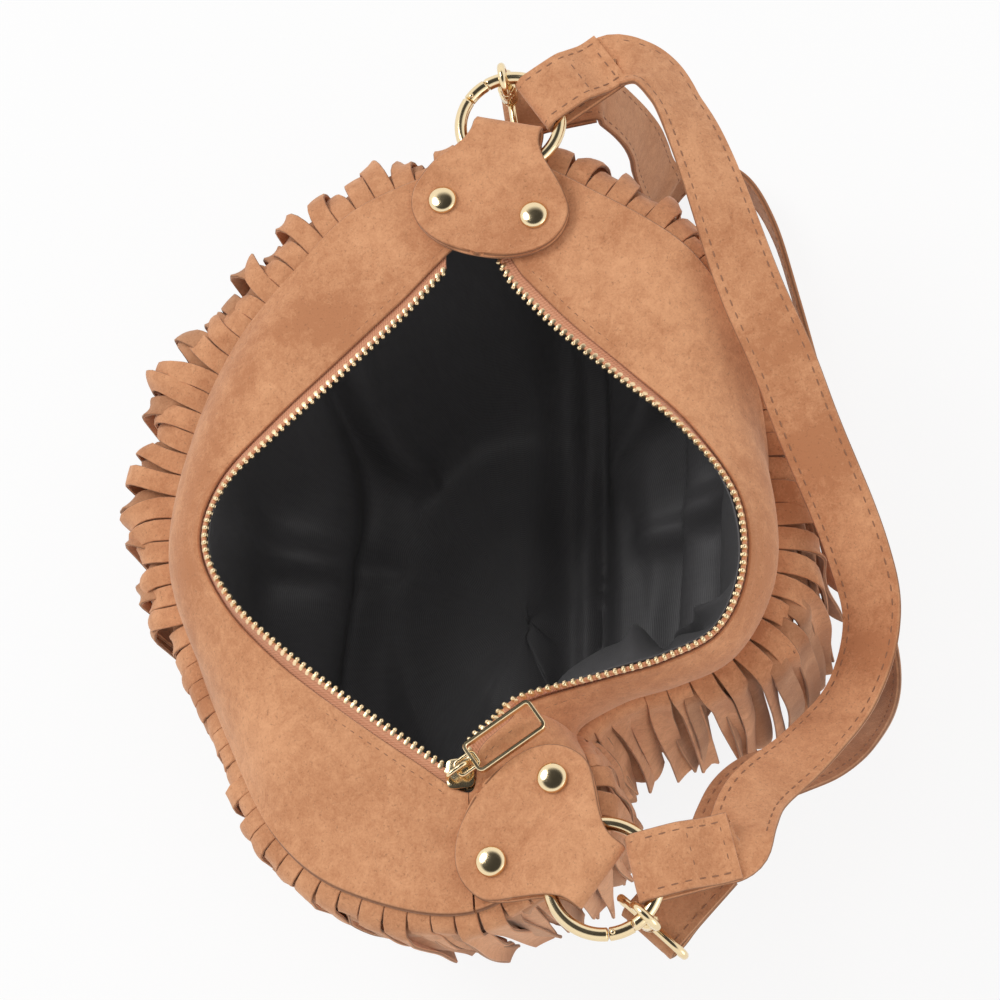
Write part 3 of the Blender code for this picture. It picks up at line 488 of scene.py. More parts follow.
def sweep(path, across, lift, section, closed=False, scale=1.0):
    """A section carried along a path: path + across * x + lift * y for its points (x, y).

    An open sweep is closed by a fan to the middle of each end."""
    section = np.asarray(section, float)
    size = np.broadcast_to(np.asarray(scale, float), (len(path),))[:, None, None]
    rings = (path[:, None] + (across[:, None] * section[None, :, :1]
                              + lift[:, None] * section[None, :, 1:]) * size)
    rows, width = rings.shape[:2]
    points = rings.reshape(-1, 3)
    faces = [quads(rows, width, closed, True)]
    if not closed:
        k = np.arange(width)
        beside = (k + 1) % width
        first, last = len(points), len(points) + 1
        base = (rows - 1) * width
        points = np.concatenate([points, [rings[0].mean(0), rings[-1].mean(0)]])
        faces += [np.stack([beside, k, np.full(width, first)], 1),
                  np.stack([base + k, base + beside, np.full(width, last)], 1)]
    return outward((points, faces, np.zeros_like(points)))


def circle(radius, sides):
    """Points of a circle of the given radius."""
    angle = np.arange(sides) / sides * 2 * math.pi
    return np.stack([np.cos(angle), np.sin(angle)], 1) * radius


def wire(path, plane, radius, closed=False, sides=16, scale=1.0, slants=()):
    """A round wire along a path that lies in one plane, given by the plane's normal.

    slants gives for an end (0 or -1) the point and the reach from its pin: the end face is laid
    across that reach, so the wire can swing past its neighbour."""
    path = np.asarray(path, float)
    if closed:
        along = unit(np.roll(path, -1, 0) - np.roll(path, 1, 0))
    else:
        along = unit(np.gradient(path, axis=0))
    plane = np.broadcast_to(unit(np.asarray(plane, float)), path.shape)
    points, faces, flow = sweep(path, np.cross(plane, along), plane, circle(radius, sides),
                                closed, scale)
    for end, tip, reach in slants:
        loop = np.arange(sides) + (0 if end == 0 else (len(path) - 1) * sides)
        loop = np.append(loop, len(points) - (2 if end == 0 else 1))
        direction, normal = along[end], unit(np.asarray(reach, float))
        shift = (points[loop] - tip) @ normal / (direction @ normal)
        points[loop] -= shift[:, None] * direction
    return points, faces, flow


def turned(place, profile, sides=40):
    """A shape turned about a vertical axis: profile points (radius, height), axis to axis."""
    profile = np.asarray(profile, float)
    ring = np.column_stack([circle(1, sides), np.zeros(sides)])
    inner = profile[1:-1]
    points = (ring[None] * inner[:, :1, None] + UP * inner[:, 1:, None]).reshape(-1, 3)
    k = np.arange(sides)
    beside, last = (k + 1) % sides, (len(inner) - 1) * sides
    size = len(points)
    points = np.concatenate([points, UP * profile[[0, -1], 1:]])
    faces = [quads(len(inner), sides, False, True),
             np.stack([beside, k, np.full(sides, size)], 1),
             np.stack([last + k, last + beside, np.full(sides, size + 1)], 1)]
    points = points + np.array([place[0], place[1], 0])
    return outward((points, faces, np.zeros_like(points)))


def blocks(centres, along, across, lift, power=0.45, sides=8, rows=3):
    """Rounded blocks, one for each centre, with half sizes given as three vectors.

    At angles u round and v up, the point is the centre plus along * C(u) C(v), across * S(u) C(v)
    and lift * S(v), where C and S are cosine and sine raised to a power with their sign kept."""
    def eased(value):
        return np.sign(value) * np.abs(value) ** power

    u = np.arange(sides) / sides * 2 * math.pi + math.pi / sides
    v = np.linspace(-math.pi / 2, math.pi / 2, rows + 2)[1:-1]
    x = (eased(np.cos(v))[:, None] * eased(np.cos(u))).ravel()
    y = (eased(np.cos(v))[:, None] * eased(np.sin(u))).ravel()
    z = np.repeat(eased(np.sin(v)), sides)
    x, y, z = np.append(x, [0, 0]), np.append(y, [0, 0]), np.append(z, [-1, 1])
    points = (centres[:, None] + along[:, None] * x[None, :, None]
              + across[:, None] * y[None, :, None] + lift[:, None] * z[None, :, None])
    k = np.arange(sides)
    beside, last, size = (k + 1) % sides, (rows - 1) * sides, rows * sides
    faces = [quads(rows, sides, False, True),
             np.stack([beside, k, np.full(sides, size)], 1),
             np.stack([last + k, last + beside, np.full(sides, size + 1)], 1)]
    faces = [repeated(group, len(centres), size + 2) for group in faces]
    points = points.reshape(-1, 3)
    return outward((points, faces, np.zeros_like(points)))


def ripple(points, size, seed, waves=7):
    """Smooth lumps from -1 to 1: the mean of sines along random directions near one wavelength."""
    dice = np.random.default_rng(seed)
    direction = unit(dice.normal(size=(waves, 3))) / (size * dice.uniform(0.7, 1.5, waves))[:, None]
    return 1.6 * np.sin(points @ direction.T * 2 * math.pi
                        + dice.uniform(0, 2 * math.pi, waves)).mean(-1)


def level(angle):
    """Horizontal unit vectors at angles."""
    return np.stack([np.cos(angle), np.sin(angle), 0 * np.asarray(angle)], -1)


def eased_step(value):
    """0 below 0, 1 above 1, and 3t^2 - 2t^3 between."""
    t = np.clip(value, 0, 1)
    return t * t * (3 - 2 * t)


# %% [markdown]
# ## The lines that everything follows
#
# The bag was measured at stations round its mouth: a point of the zip line, a point of the yoke's
# lower seam, and how far the fringe stands out there. A smooth closed curve through the stations
# gives every line in between. These are the CAD model's own values.


# %% Stations and curves
GAP, SUEDE, STRAP_THICK, FRINGE_THICK, TAB_PLY = 0.3 * MM, 1.4 * MM, 2.0 * MM, 1.1 * MM, 1.6 * MM
RIM_HEIGHT, YOKE_BULGE, TAPE_SHOWN = 150 * MM, 5.5 * MM, 4 * MM
STATIONS = [
    (-86, -3, -114, 6, 150, 8), (-64, -29, -104, -38, 150, 16), (-48, -48, -83, -64, 147, 20),
    (-32, -68, -61, -87, 137, 23), (-15, -87, -34, -104, 124, 25), (3, -94, -2, -110, 117, 20),
    (22, -87, 29, -104, 118, 12), (40, -71, 62, -91, 129, 9), (59, -49, 97, -73, 145, 10),
    (75, -29, 116, -50, 150, 9), (86, -14, 124, -14, 150, 8), (75, -13, 104, 18, 150, 7),
    (68, -5, 85, 21, 148, 6), (63, 3, 67, 15, 122, 5), (59, 27, 55, 30, 114, 5),
    (55, 47, 51, 47, 113, 8), (47, 64, 44, 63, 113, 16), (28, 73, 26, 75, 113, 16),
    (5, 72, 2, 78, 113, 13),
    (-18, 58, -22, 80, 119, 11), (-37, 39, -49, 77, 136, 9), (-54, 22, -75, 64, 149, 10),
    (-70, 9, -97, 38, 150, 12),
]
TABLE = np.array(STATIONS, float) * MM
COUNT, BOTTOM_STATION = len(STATIONS), 10
CURVE_STEP, PANEL_END, STRAND_END = 0.02, 0.01, 0.42
HALVES = {"front": (0, BOTTOM_STATION), "back": (BOTTOM_STATION, COUNT)}


def curve(rows, at, closed=True):
    """Catmull-Rom curve through rows, read at the given parameters."""
    last = len(rows)
    base = np.floor(at).astype(int)
    if closed:
        a, b, c, d = (rows[(base + k) % last] for k in (-1, 0, 1, 2))
    else:
        base = np.clip(base, 0, last - 2)
        a, b, c, d = (rows[np.clip(base + k, 0, last - 1)] for k in (-1, 0, 1, 2))
    t = (at - base).reshape(at.shape + (1,) * (rows.ndim - 1))
    return 0.5 * (2 * b + (c - a) * t + (2 * a - 5 * b + 4 * c - d) * t ** 2
                  + (3 * b - a - 3 * c + d) * t ** 3)


def rim_line(at):
    """The line of the zip's teeth."""
    flat = curve(TABLE[:, 0:2], at)
    return np.concatenate([flat, np.full(at.shape + (1,), RIM_HEIGHT)], -1)


def seam_line(at):
    """The yoke's lower edge, never above the rim."""
    line = curve(TABLE[:, 2:5], at)
    line[..., 2] = np.minimum(line[..., 2], RIM_HEIGHT)
    return line


def out_of_seam(at):
    """Outward horizontal directions at the seam, averaged over neighbours round its hollows."""
    total = 0
    for spread in np.linspace(-0.8, 0.8, 9):
        along = seam_line(at + spread + CURVE_STEP) - seam_line(at + spread - CURVE_STEP)
        total = total + unit(np.stack([along[..., 1], -along[..., 0], 0 * along[..., 0]], -1))
    return unit(total)


def yoke_frame(at):
    """Zip point, direction across the yoke, its length, and the outward normal."""
    def near_zip(where):
        return rim_line(where) * 0.8 + seam_line(where) * 0.2

    rim = rim_line(at)
    across = seam_line(at) - rim
    length = np.linalg.norm(across, axis=-1, keepdims=True)
    normal = unit(np.cross(across, near_zip(at + CURVE_STEP) - near_zip(at - CURVE_STEP)))
    return rim, across / length, length, normal


def away_from_tabs(at):
    """0 where a tab lies on the yoke, 1 elsewhere."""
    gap = np.minimum.reduce([np.abs(at), np.abs(at - COUNT), np.abs(at - BOTTOM_STATION - 0.3)])
    return eased_step((gap - 1.4) / 1.3)


def even_stations(line, first, last, pitch):
    """Stations between two others at which a line has been followed by whole pitches."""
    at = np.linspace(first, last, 2000)
    run = distances(line(at), 0)
    marks = np.arange(pitch / 2, run[-1], pitch)
    return np.interp(marks, run, at)


print("zip length", round(float(distances(rim_line(np.linspace(0, COUNT, 2000)), 0)[-1]), 3))

# %% [markdown]
# ## The yoke
#
# The yoke is the suede collar between the zip and the fringe, in a front and a back half. It is
# flat under the tabs, swells up in between, and its lower edge is turned under, which makes a
# soft rolled rim. Beside the zip it is folded and sewn through, so there is a low welt, a shallow
# groove and a line of stitches. A grid works well here, because all of these follow the zip line.

# %% Yoke halves and their stitches
ROLL_RISE, ROLL_WIDTH = 0.7 * MM, 1.9 * MM
STITCH_INSET, STITCH_PITCH = 2.6 * MM, 3.1 * MM
WELT, WELT_OUT = 0.6 * MM, 0.35 * MM


def yoke_points(at, share):
    """Middle surface of the yoke at stations and at shares of its width.

    It is the straight line from the zip edge to the seam, plus the normal times: the bulge
    4v(1 - v) away from the tabs, slow and quick waves that fade at both edges, the rolled rim
    exp(-(d / width)^2) at the seam, and the welt and groove beside the zip."""
    at, share = np.broadcast_arrays(at, share)
    rim, across, length, normal = yoke_frame(at)
    down = TAPE_SHOWN + (length[..., 0] - TAPE_SHOWN) * share
    flat = rim + across * down[..., None]
    arch, loose = 4 * share * (1 - share), away_from_tabs(at)
    from_seam = length[..., 0] - down
    from_zip = down - TAPE_SHOWN
    lift = arch * loose * (YOKE_BULGE + ripple(flat, 75 * MM, 5) * 1.3 * MM
                           + ripple(flat, 26 * MM, 6) * 0.35 * MM)
    lift = lift + ROLL_RISE * loose * np.exp(-(from_seam / ROLL_WIDTH) ** 2)
    lift = lift + np.minimum(arch * 9, 1) * (
        0.18 * MM * np.exp(-((from_zip - 1.5 * MM) / (1.2 * MM)) ** 2)
        - 0.30 * MM * np.exp(-((from_zip - STITCH_INSET) / (0.7 * MM)) ** 2))
    return flat + normal * lift[..., None]


def stitch_row(points, across, lift, half_height, length=1.35 * MM, width=0.32 * MM):
    """Stitches at every other point of a path: each a small rounded block laid along it."""
    along = unit(points[1:] - points[:-1])[::2]
    centres = ((points[1:] + points[:-1]) / 2)[::2]
    side, top = unit(across[:-1][::2]), unit(lift[:-1][::2])
    return blocks(centres, along * length, side * width, top * half_height, 0.6, 6, 3)


for half, (first, last) in HALVES.items():
    at = np.linspace(first + PANEL_END, last - PANEL_END, 240)
    share = 0.5 - 0.5 * np.cos(np.linspace(0, math.pi, 26))
    grid = yoke_points(at[:, None], share[None])
    piece("yoke_" + half, sheet(grid, SUEDE, 0.8), "suede", nodes=["yoke_" + half])
    sewn = even_stations(rim_line, first + STRAND_END, last - STRAND_END, STITCH_PITCH / 2)
    spot = STITCH_INSET / (yoke_frame(sewn)[2][:, 0] - TAPE_SHOWN)
    line, across, normal = yoke_points(sewn, spot), yoke_frame(sewn)[1], yoke_frame(sewn)[3]
    stitches = stitch_row(line + normal * SUEDE / 2, across, normal, 0.16 * MM, 0.8 * MM, 0.16 * MM)
    piece("yoke_stitches_" + half, stitches, "thread")
    seam, out = seam_line(at), out_of_seam(at)
    path = seam + out * WELT_OUT - UP * (SUEDE / 2 + WELT)
    welt = sweep(path, out, np.broadcast_to(UP, seam.shape), circle(WELT, 8))
    piece("yoke_welt_" + half, welt, "thread")

# %% [markdown]
# ## The body behind the fringe, and the base
#
# The body wall is hidden by the fringe from most sides, but it shows through the slits. It hangs
# from the seam, bellies out and is drawn in to a flat oval base. Rows of points at a few heights
# are joined by the same smooth curve as the seam, and a Solidify modifier gives the wall.

# %% Body wall and base panel
LAYER_STEP, FRINGE_BEND, BODY_TUCK, BELLY_HEIGHT = 2.7 * MM, 12 * MM, 0.94, 62 * MM
SOLE_HEIGHT, SOLE_LENGTH, SOLE_WIDTH, SOLE_TUCK = 14 * MM, 176 * MM, 122 * MM, 0.86
SOLE_CENTRE = np.array([2 * MM, -12 * MM, 0])


def at_height(points, height):
    """The same points at another height."""
    moved = points.copy()
    moved[..., 2] = height
    return moved


def body_rows(at):
    """The body wall at the seam, just below it, at the belly and at the base."""
    seam, out = seam_line(at), out_of_seam(at)
    top = at_height(seam - out * (LAYER_STEP + SUEDE / 2 + GAP),
                    seam[:, 2] - SUEDE - GAP - 0.4 * MM)
    shoulder = at_height(top - out * 0.8 * MM, top[:, 2] - FRINGE_BEND)
    belly = at_height(SOLE_CENTRE + (seam - SOLE_CENTRE) * BODY_TUCK, BELLY_HEIGHT)
    angle = np.arctan2(seam[:, 1] - SOLE_CENTRE[1], seam[:, 0] - SOLE_CENTRE[0])
    oval = np.stack([SOLE_LENGTH / 2 * np.cos(angle), SOLE_WIDTH / 2 * np.sin(angle),
                     0 * angle], 1)
    size = np.linalg.norm((belly - SOLE_CENTRE)[:, :2], axis=1) / np.linalg.norm(oval, axis=1)
    oval = SOLE_CENTRE + oval * np.minimum(1, SOLE_TUCK * size)[:, None]
    low = at_height(belly * 0.2 + oval * 0.8, SOLE_HEIGHT)
    return np.stack([top, shoulder, belly, low])


def open_shape(grid, closed=False, pole=False):
    """A single surface from a grid [across, along], with a fan to the middle of its last row."""
    rows, columns = grid.shape[:2]
    points = grid.reshape(-1, 3)
    flow = np.stack([np.broadcast_to(distances(grid, 1)[0], (rows, columns)),
                     distances(grid, 0), np.zeros((rows, columns))], -1).reshape(-1, 3)
    faces = [quads(rows, columns, False, closed)]
    if pole:
        k = np.arange(columns)
        points = np.concatenate([points, grid[-1].mean(0)[None]])
        flow = np.concatenate([flow, flow[-1:]])
        base = (rows - 1) * columns
        faces.append(np.stack([base + k, base + (k + 1) % columns,
                               np.full(columns, rows * columns)], 1))
    return points, faces, flow


def wall(item, thickness):
    """Give an open surface its thickness, half to each side."""
    solid = item.modifiers.new("wall", "SOLIDIFY")
    solid.thickness, solid.offset = thickness, 0
    return item


for half, (first, last) in HALVES.items():
    at = np.linspace(first + PANEL_END, last - PANEL_END, 120)
    grid = curve(body_rows(at), np.linspace(0, 3, 34), closed=False)
    fade = np.sin(np.linspace(0, math.pi, 34))[:, None, None]
    grid = grid + out_of_seam(at)[None] * (ripple(grid, 45 * MM, 9)[..., None] - 0.5) * fade * MM
    # The body wall gets the darker suede: painted shade for the wall behind the fringe.
    wall(piece("body_" + half, open_shape(grid), "suede_dark", nodes=["body_" + half]), SUEDE)

at = np.linspace(0, COUNT, 160, endpoint=False)
low = body_rows(at)[3]
profile = ((1, SOLE_HEIGHT - GAP - SUEDE / 2), (0.985, 5 * MM), (0.93, 1.4 * MM), (0.86, SUEDE / 2),
           (0.45, SUEDE / 2), (0.08, SUEDE / 2))
rings = np.stack([at_height(SOLE_CENTRE + (low - SOLE_CENTRE) * scale, height)
                  for scale, height in profile])
base = curve(rings, np.linspace(0, 5, 31), closed=False)
base[..., 2] = np.maximum(base[..., 2], SUEDE / 2)
# The base gets the darker suede: painted shade under the bag.
wall(piece("base_panel", open_shape(base, True, True), "suede_dark", nodes=["base_panel"]), SUEDE)

# %% [markdown]
# ## The lining
#
# Most of the picture is the black satin inside. A lining is a little larger than the bag, so it
# falls in soft upright folds and creases at the bottom. The sewn bag is one grid from the zip
# down to the middle of the floor. Upright folds push the wall inwards, long valleys lie side by
# side across the floor and up the walls, and a ledge runs along the low side of the mouth. All of
# it moves inwards only, so nothing pokes out.

# %% Lining with its folds
TAPE_THICK, TAPE_GAP, BEAD_HEIGHT, TAPE_WIDTH = 0.7 * MM, 1.0 * MM, 2.3 * MM, 9 * MM
LINING, LINING_INSET = 0.8 * MM, 5 * MM
# The long folds all run the same way, with valleys between them: place and half-width.
FOLD_HEADING, FOLD_HEIGHT = math.radians(85), 14 * MM
VALLEYS = [(-97, 8), (-70, 5), (2, 9), (14, 5), (48, 6), (66, 5)]
# A ledge along the low side of the mouth: first and last station, row, half-height in rows, depth.
LEDGE = (10.4, 15.8, 1.7, 0.8, 5 * MM)
# Upright folds: station, half-width in stations, depth in millimetres, and lean at the floor.
UPRIGHT_FOLDS = [(2.0, 0.26, 4, 0.5), (4.6, 0.30, 5, -0.5), (8.4, 0.24, 6, 0.4),
                 (12.9, 0.25, 10, -0.6), (14.6, 0.22, 8, 0.5), (16.6, 0.26, 7, -0.5),
                 (18.9, 0.30, 5, 0.4), (21.4, 0.22, 5, -0.4)]


def lining_grid(at, down):
    """The lining's middle surface, from under the zip (0) to the middle of the floor (5)."""
    rim, across, _, normal = yoke_frame(at)
    under_tape = TAPE_THICK + BEAD_HEIGHT / 2 + 3 * GAP + LINING
    top = rim + across * (TAPE_WIDTH * 0.9) - normal * under_tape
    rows = body_rows(at)
    seam, out = seam_line(at), out_of_seam(at)
    shoulder = at_height(seam - out * LINING_INSET * 1.6,
                         np.minimum(seam[:, 2] - FRINGE_BEND, top[:, 2] - 8 * MM))
    belly = at_height(rows[2] - out * LINING_INSET, BELLY_HEIGHT)
    low = at_height(SOLE_CENTRE + (rows[3] - SOLE_CENTRE) * 0.87, 20 * MM)
    floor = at_height(SOLE_CENTRE + (rows[3] - SOLE_CENTRE) * 0.56, 8 * MM)
    middle = at_height(SOLE_CENTRE + (rows[3] - SOLE_CENTRE) * 0.05, 7 * MM)
    grid = curve(np.stack([top, shoulder, belly, low, floor, middle]), down, closed=False)
    depth = np.interp(down, [0, 0.25, 1.2, 2.5, 3.4, 4.2, 5], [0, 0.12, 0.9, 0.9, 0.4, 0.1, 0])
    push = np.zeros(grid.shape[:2])
    for station, half_width, size, lean in UPRIGHT_FOLDS:
        offset = (at[None] - station - lean * (down[:, None] - 1) * 0.45 + COUNT / 2) % COUNT
        push += size * MM * np.exp(-((offset - COUNT / 2) / half_width) ** 2)
    push = push * depth[:, None] + depth[:, None] * (1 + ripple(grid, 60 * MM, 21)) * 1.5 * MM
    start, end, row, spread, reach = LEDGE
    there = eased_step((at - start) / 1.0) * eased_step((end - at) / 1.2)
    push = push + reach * there[None] * np.exp(-((down[:, None] - row) / spread) ** 2)
    grid = grid - out[None] * push[..., None]
    crumple = np.interp(down, [2.6, 3.4, 4.4, 5], [0, 0.6, 1, 0.7])[:, None]
    rise = (0.9 + ripple(grid, 70 * MM, 22)) * 2.4 * MM + (1 + ripple(grid, 24 * MM, 23)) * 0.7 * MM
    aside = grid @ level(FOLD_HEADING) + ripple(grid, 120 * MM, 24) * 5 * MM
    ridges = FOLD_HEIGHT * np.prod([1 - 0.8 * np.exp(-((aside - spot * MM) / (width * MM)) ** 2)
                                    for spot, width in VALLEYS], axis=0)
    slack = np.interp(down, [0.3, 1.2, 2.2, 5], [0, 0.7, 1, 1])[:, None]
    grid = grid - out[None] * (ridges * slack * (1 - crumple))[..., None] * 0.8
    grid[..., 2] += rise * crumple + ridges * slack * (0.35 + 0.65 * crumple)
    return grid


at = np.linspace(0, COUNT, 460, endpoint=False)
grid = lining_grid(at, np.linspace(0, 5, 96))
wall(piece("lining", open_shape(grid, True, True), "lining", nodes=["lining"]), LINING)

# %% [markdown]
# ## The zip
#
# Each side of the zip is a woven tape with a cord along its free edge, and metal teeth clamped
# on the cord. The tape is a thin sheet, thicker at the cord. Teeth are repeated over two hundred
# times, so each is only two rounded blocks of a few faces: a broad clasp and a narrower nose.

# %% Tapes and teeth
TOOTH_PITCH = 2.55 * MM


def tape_points(at, down, depth):
    """Points of the tape: down from the zip line along the yoke, depth below its surface."""
    rim, across, length, normal = yoke_frame(at)
    share = np.clip((down - TAPE_SHOWN) / (length[..., 0] - TAPE_SHOWN), 0, 1)
    swell = YOKE_BULGE * away_from_tabs(at) * 4 * share * (1 - share)
    return rim + across * down[..., None] + normal * (swell + depth)[..., None]


for half, (first, last) in HALVES.items():
    at = np.linspace(first + STRAND_END, last - STRAND_END, 260)
    down = np.array([-0.1, 0.4, 0.9, 1.5, 2.6, 4.0, 5.5, 7.2, 9.0]) * MM
    thick = np.array([0.9, 1.5, 1.5, 0.8, 0.7, 0.7, 0.7, 0.7, 0.7]) * MM
    depth = -(SUEDE / 2 + TAPE_GAP + TAPE_THICK / 2) + np.interp(
        down, [3.0 * MM, 5.5 * MM], [1.0 * MM, 0.35 * MM])
    across_grid, down_grid = np.meshgrid(at, down, indexing="ij")
    grid = tape_points(across_grid, down_grid, np.broadcast_to(depth, across_grid.shape))
    piece("zip_tape_" + half, sheet(grid, thick), "tape", nodes=["zip_" + half])
    at = even_stations(rim_line, first + STRAND_END, last - STRAND_END, TOOTH_PITCH)
    rim, across, length, normal = yoke_frame(at)
    along = unit(np.cross(normal, across))
    clasp = blocks(rim + across * 0.10 * MM - normal * 1.10 * MM, along * 0.95 * MM,
                   across * 1.25 * MM, normal * 1.10 * MM, 0.75)
    nose = blocks(rim - across * 1.10 * MM - normal * 0.95 * MM, along * 0.80 * MM,
                  across * 0.80 * MM, normal * 0.85 * MM, 0.9)
    piece("zip_teeth_" + half, together(clasp, nose), "teeth", nodes=["zip_" + half])

# %% [markdown]
# ## The fringe
#
# The fringe is a band of suede cut into strips, sewn under the yoke, in two layers. Each strip
# runs out from the seam, bends down and hangs. No two lie alike: they cup along their length like
# leaves, twist, sway and end at slightly different heights. All strips of one layer are worked
# out together as one array of [strip, along, across].

# %% Strips
FRINGE_LENGTH, SLIT = 104 * MM, 0.07
STRIPS = {"front": 52, "back": 48}
# How far each strip leans in under the bag as it drops, at some of the stations.
LEAN_STATIONS, LEAN = [0, 4, 5.5, 7, 10, 11.5, 13, 23], [0, 0, 0.04, 0.10, 0.10, 0.04, 0, 0]


def strips(half, layer):
    """Middle surfaces of every strip in one layer.

    At s along a strip the path is straight out for the run, a quarter circle down, then a
    straight drop that leans in. Across it, at w from -1 to 1, the point moves by half the strip's
    width along the sideways direction turned about the path by the twist, and by cup * (w^2 - 1/2)
    along the path's own normal."""
    dice = np.random.default_rng({"front": 40, "back": 60}[half] + layer)
    first, last = HALVES[half]
    ends = even_stations(seam_line, first + PANEL_END, last - PANEL_END,
                         float(distances(seam_line(np.linspace(first, last, 2000)), 0)[-1])
                         / STRIPS[half])
    at = ends if layer == 0 else (ends[1:] + ends[:-1]) / 2
    pitch = np.gradient(at)
    count = len(at)

    def some(low, high):
        return dice.uniform(low, high, (count, 1, 1))

    inset = LAYER_STEP * layer
    seam, out = seam_line(at), out_of_seam(at)
    edge = (seam_line(at + pitch / 2) - seam_line(at - pitch / 2)) / 2 * (1 - SLIT)
    reach = np.maximum(curve(TABLE[:, 5:6], at)[:, 0], 4 * MM)[:, None, None] - inset
    reach = reach * some(0.66, 1.22)
    bend = np.minimum(FRINGE_BEND, reach) * some(0.55, 1.0)
    run = reach - bend
    w = np.linspace(-1, 1, 6)[None, None]
    length = (FRINGE_LENGTH * some(0.93, 1.0)) * (1 + some(-0.03, 0.03) * w)
    s = np.linspace(0, 1, 30)[None, :, None] * length
    angle = np.clip((s - run) / bend, 0, math.pi / 2)
    drop = np.maximum(s - run - bend * math.pi / 2, 0)
    lean = np.interp(at, LEAN_STATIONS, LEAN)[:, None, None]
    forth = np.minimum(s, run) + bend * np.sin(angle) - lean * drop
    height = bend * np.cos(angle) - bend - drop
    t = s / length
    free = eased_step((s - 3 * MM) / (22 * MM))
    along_out, along_up = np.cos(angle), -np.sin(angle)
    side = unit(np.cross(UP, out))[:, None, None]
    out3 = out[:, None, None]
    normal = out3 * -along_up[..., None] + UP * along_out[..., None]
    twist = (some(-1.1, 1.1) * free * (0.5 + 0.5 * t)
             + some(-0.35, 0.35) * np.sin(s / (20 * MM) + some(0, 6)))
    cup = some(-1.5, 1.5) * MM * free + 0.5 * MM * np.sin(s / (11 * MM) + some(0, 6)) * free
    wave = (some(0.2, 1.0) * np.sin(s / (14 * MM) + some(0, 6)) * free * MM
            + some(-0.5, 2.2) * MM * np.clip(t * 2, 0, 1))
    sway = some(-3.5, 3.5) * MM * t ** 2 + some(-0.24, 0.24) * forth * free
    across = edge[:, None, None] * w[..., None]
    width = np.linalg.norm(across, axis=-1, keepdims=True) * np.sign(w)[..., None]
    turned_across = (across * (1 - free[..., None])
                     + free[..., None] * (side * np.cos(twist)[..., None]
                                          + normal * np.sin(twist)[..., None]) * width)
    top = seam[:, 2][:, None, None] - SUEDE / 2 - GAP - FRINGE_THICK / 2 - inset - 0.8 * MM
    base = at_height(seam, 0)[:, None, None] + UP * top[..., None]
    start = -1.0 * MM
    return (base + out3 * (forth + start)[..., None] + UP * height[..., None] + turned_across
            + normal * ((w ** 2 - 0.5) * cup + wave * free)[..., None]
            + side * sway[..., None])


# The inner layer gets the darker suede: painted shade under the outer layer.
LAYERS = (("suede", "fringe_outer_"), ("suede_dark", "fringe_inner_"))
for half in HALVES:
    for layer, (kind, name) in enumerate(LAYERS):
        piece(name + half, sheet(strips(half, layer), FRINGE_THICK, 0.6), kind, nodes=[name + half])

# %% [markdown]
# ## Tabs and rivets
#
# At each end of the zip a suede tab is riveted to the yoke, narrows, goes round the ring's wire
# and comes back over itself. It is one sheet carried along that folded path, and its half-width
# changes along it: a round base, a waist, and a narrow fold. The rivets are turned shapes with a
# low domed cap, so a profile spun about the vertical axis is enough.

# %% Tabs
RING_WIRE, TAB_LENGTH, RIVET_INSET, RIVET_SPACING = 2.0 * MM, 44.8 * MM, 15 * MM, 30 * MM
TABS = {
    "top": dict(rivets=(-95.5 * MM, 2 * MM), heading=math.radians(163),
                strap=math.radians(-43), hook=math.radians(22), pin=math.radians(78), turn=-1),
    "bottom": dict(rivets=(100 * MM, 2 * MM), heading=math.radians(50),
                   strap=math.radians(50), hook=math.radians(-6), pin=math.radians(-56), turn=1),
}
YOKE_TOP = RIM_HEIGHT + SUEDE / 2
TAB_Z = YOKE_TOP + 0.5 * MM + TAB_PLY / 2
TAB_TOP = TAB_Z + 1.5 * TAB_PLY + GAP
POCKET = RING_WIRE + GAP
RING_Z = TAB_Z + POCKET + TAB_PLY / 2


def tab_values(which):
    """A tab's direction, its sideways direction, its start and its ring's centre."""
    spec = TABS[which]
    ahead, side = level(spec["heading"]), level(spec["heading"] + math.pi / 2)
    start = np.array([*spec["rivets"], 0]) - ahead * RIVET_INSET
    return spec, ahead, side, start, start + ahead * (TAB_LENGTH - GAP / 2) + UP * RING_Z


def tab_half_width(u):
    """Half-width: an ellipse-like base of 25 mm, a cosine waist, then 10.5 mm at the fold."""
    u = u / MM
    base = 25 * np.maximum(1 - (np.clip(17 - u, 0, 17.3) / 17.3) ** 2.2, 1e-4) ** (1 / 2.2)
    waist = 10.5 + 14.5 * (0.5 + 0.5 * np.cos(math.pi * (u - 17) / 24))
    return np.where(u <= 17, base, np.where(u < 41, waist, 10.5)) * MM


def along_line(points, count):
    """The same number of evenly spaced points on a smooth curve through rows of points."""
    points = np.asarray(points, float)
    fine = curve(points, np.linspace(0, len(points) - 1, 1500), closed=False)
    run = distances(fine[..., :3], 0)
    marks = np.linspace(0, run[-1], count)
    return np.stack([np.interp(marks, run, fine[:, k]) for k in range(fine.shape[1])], 1)


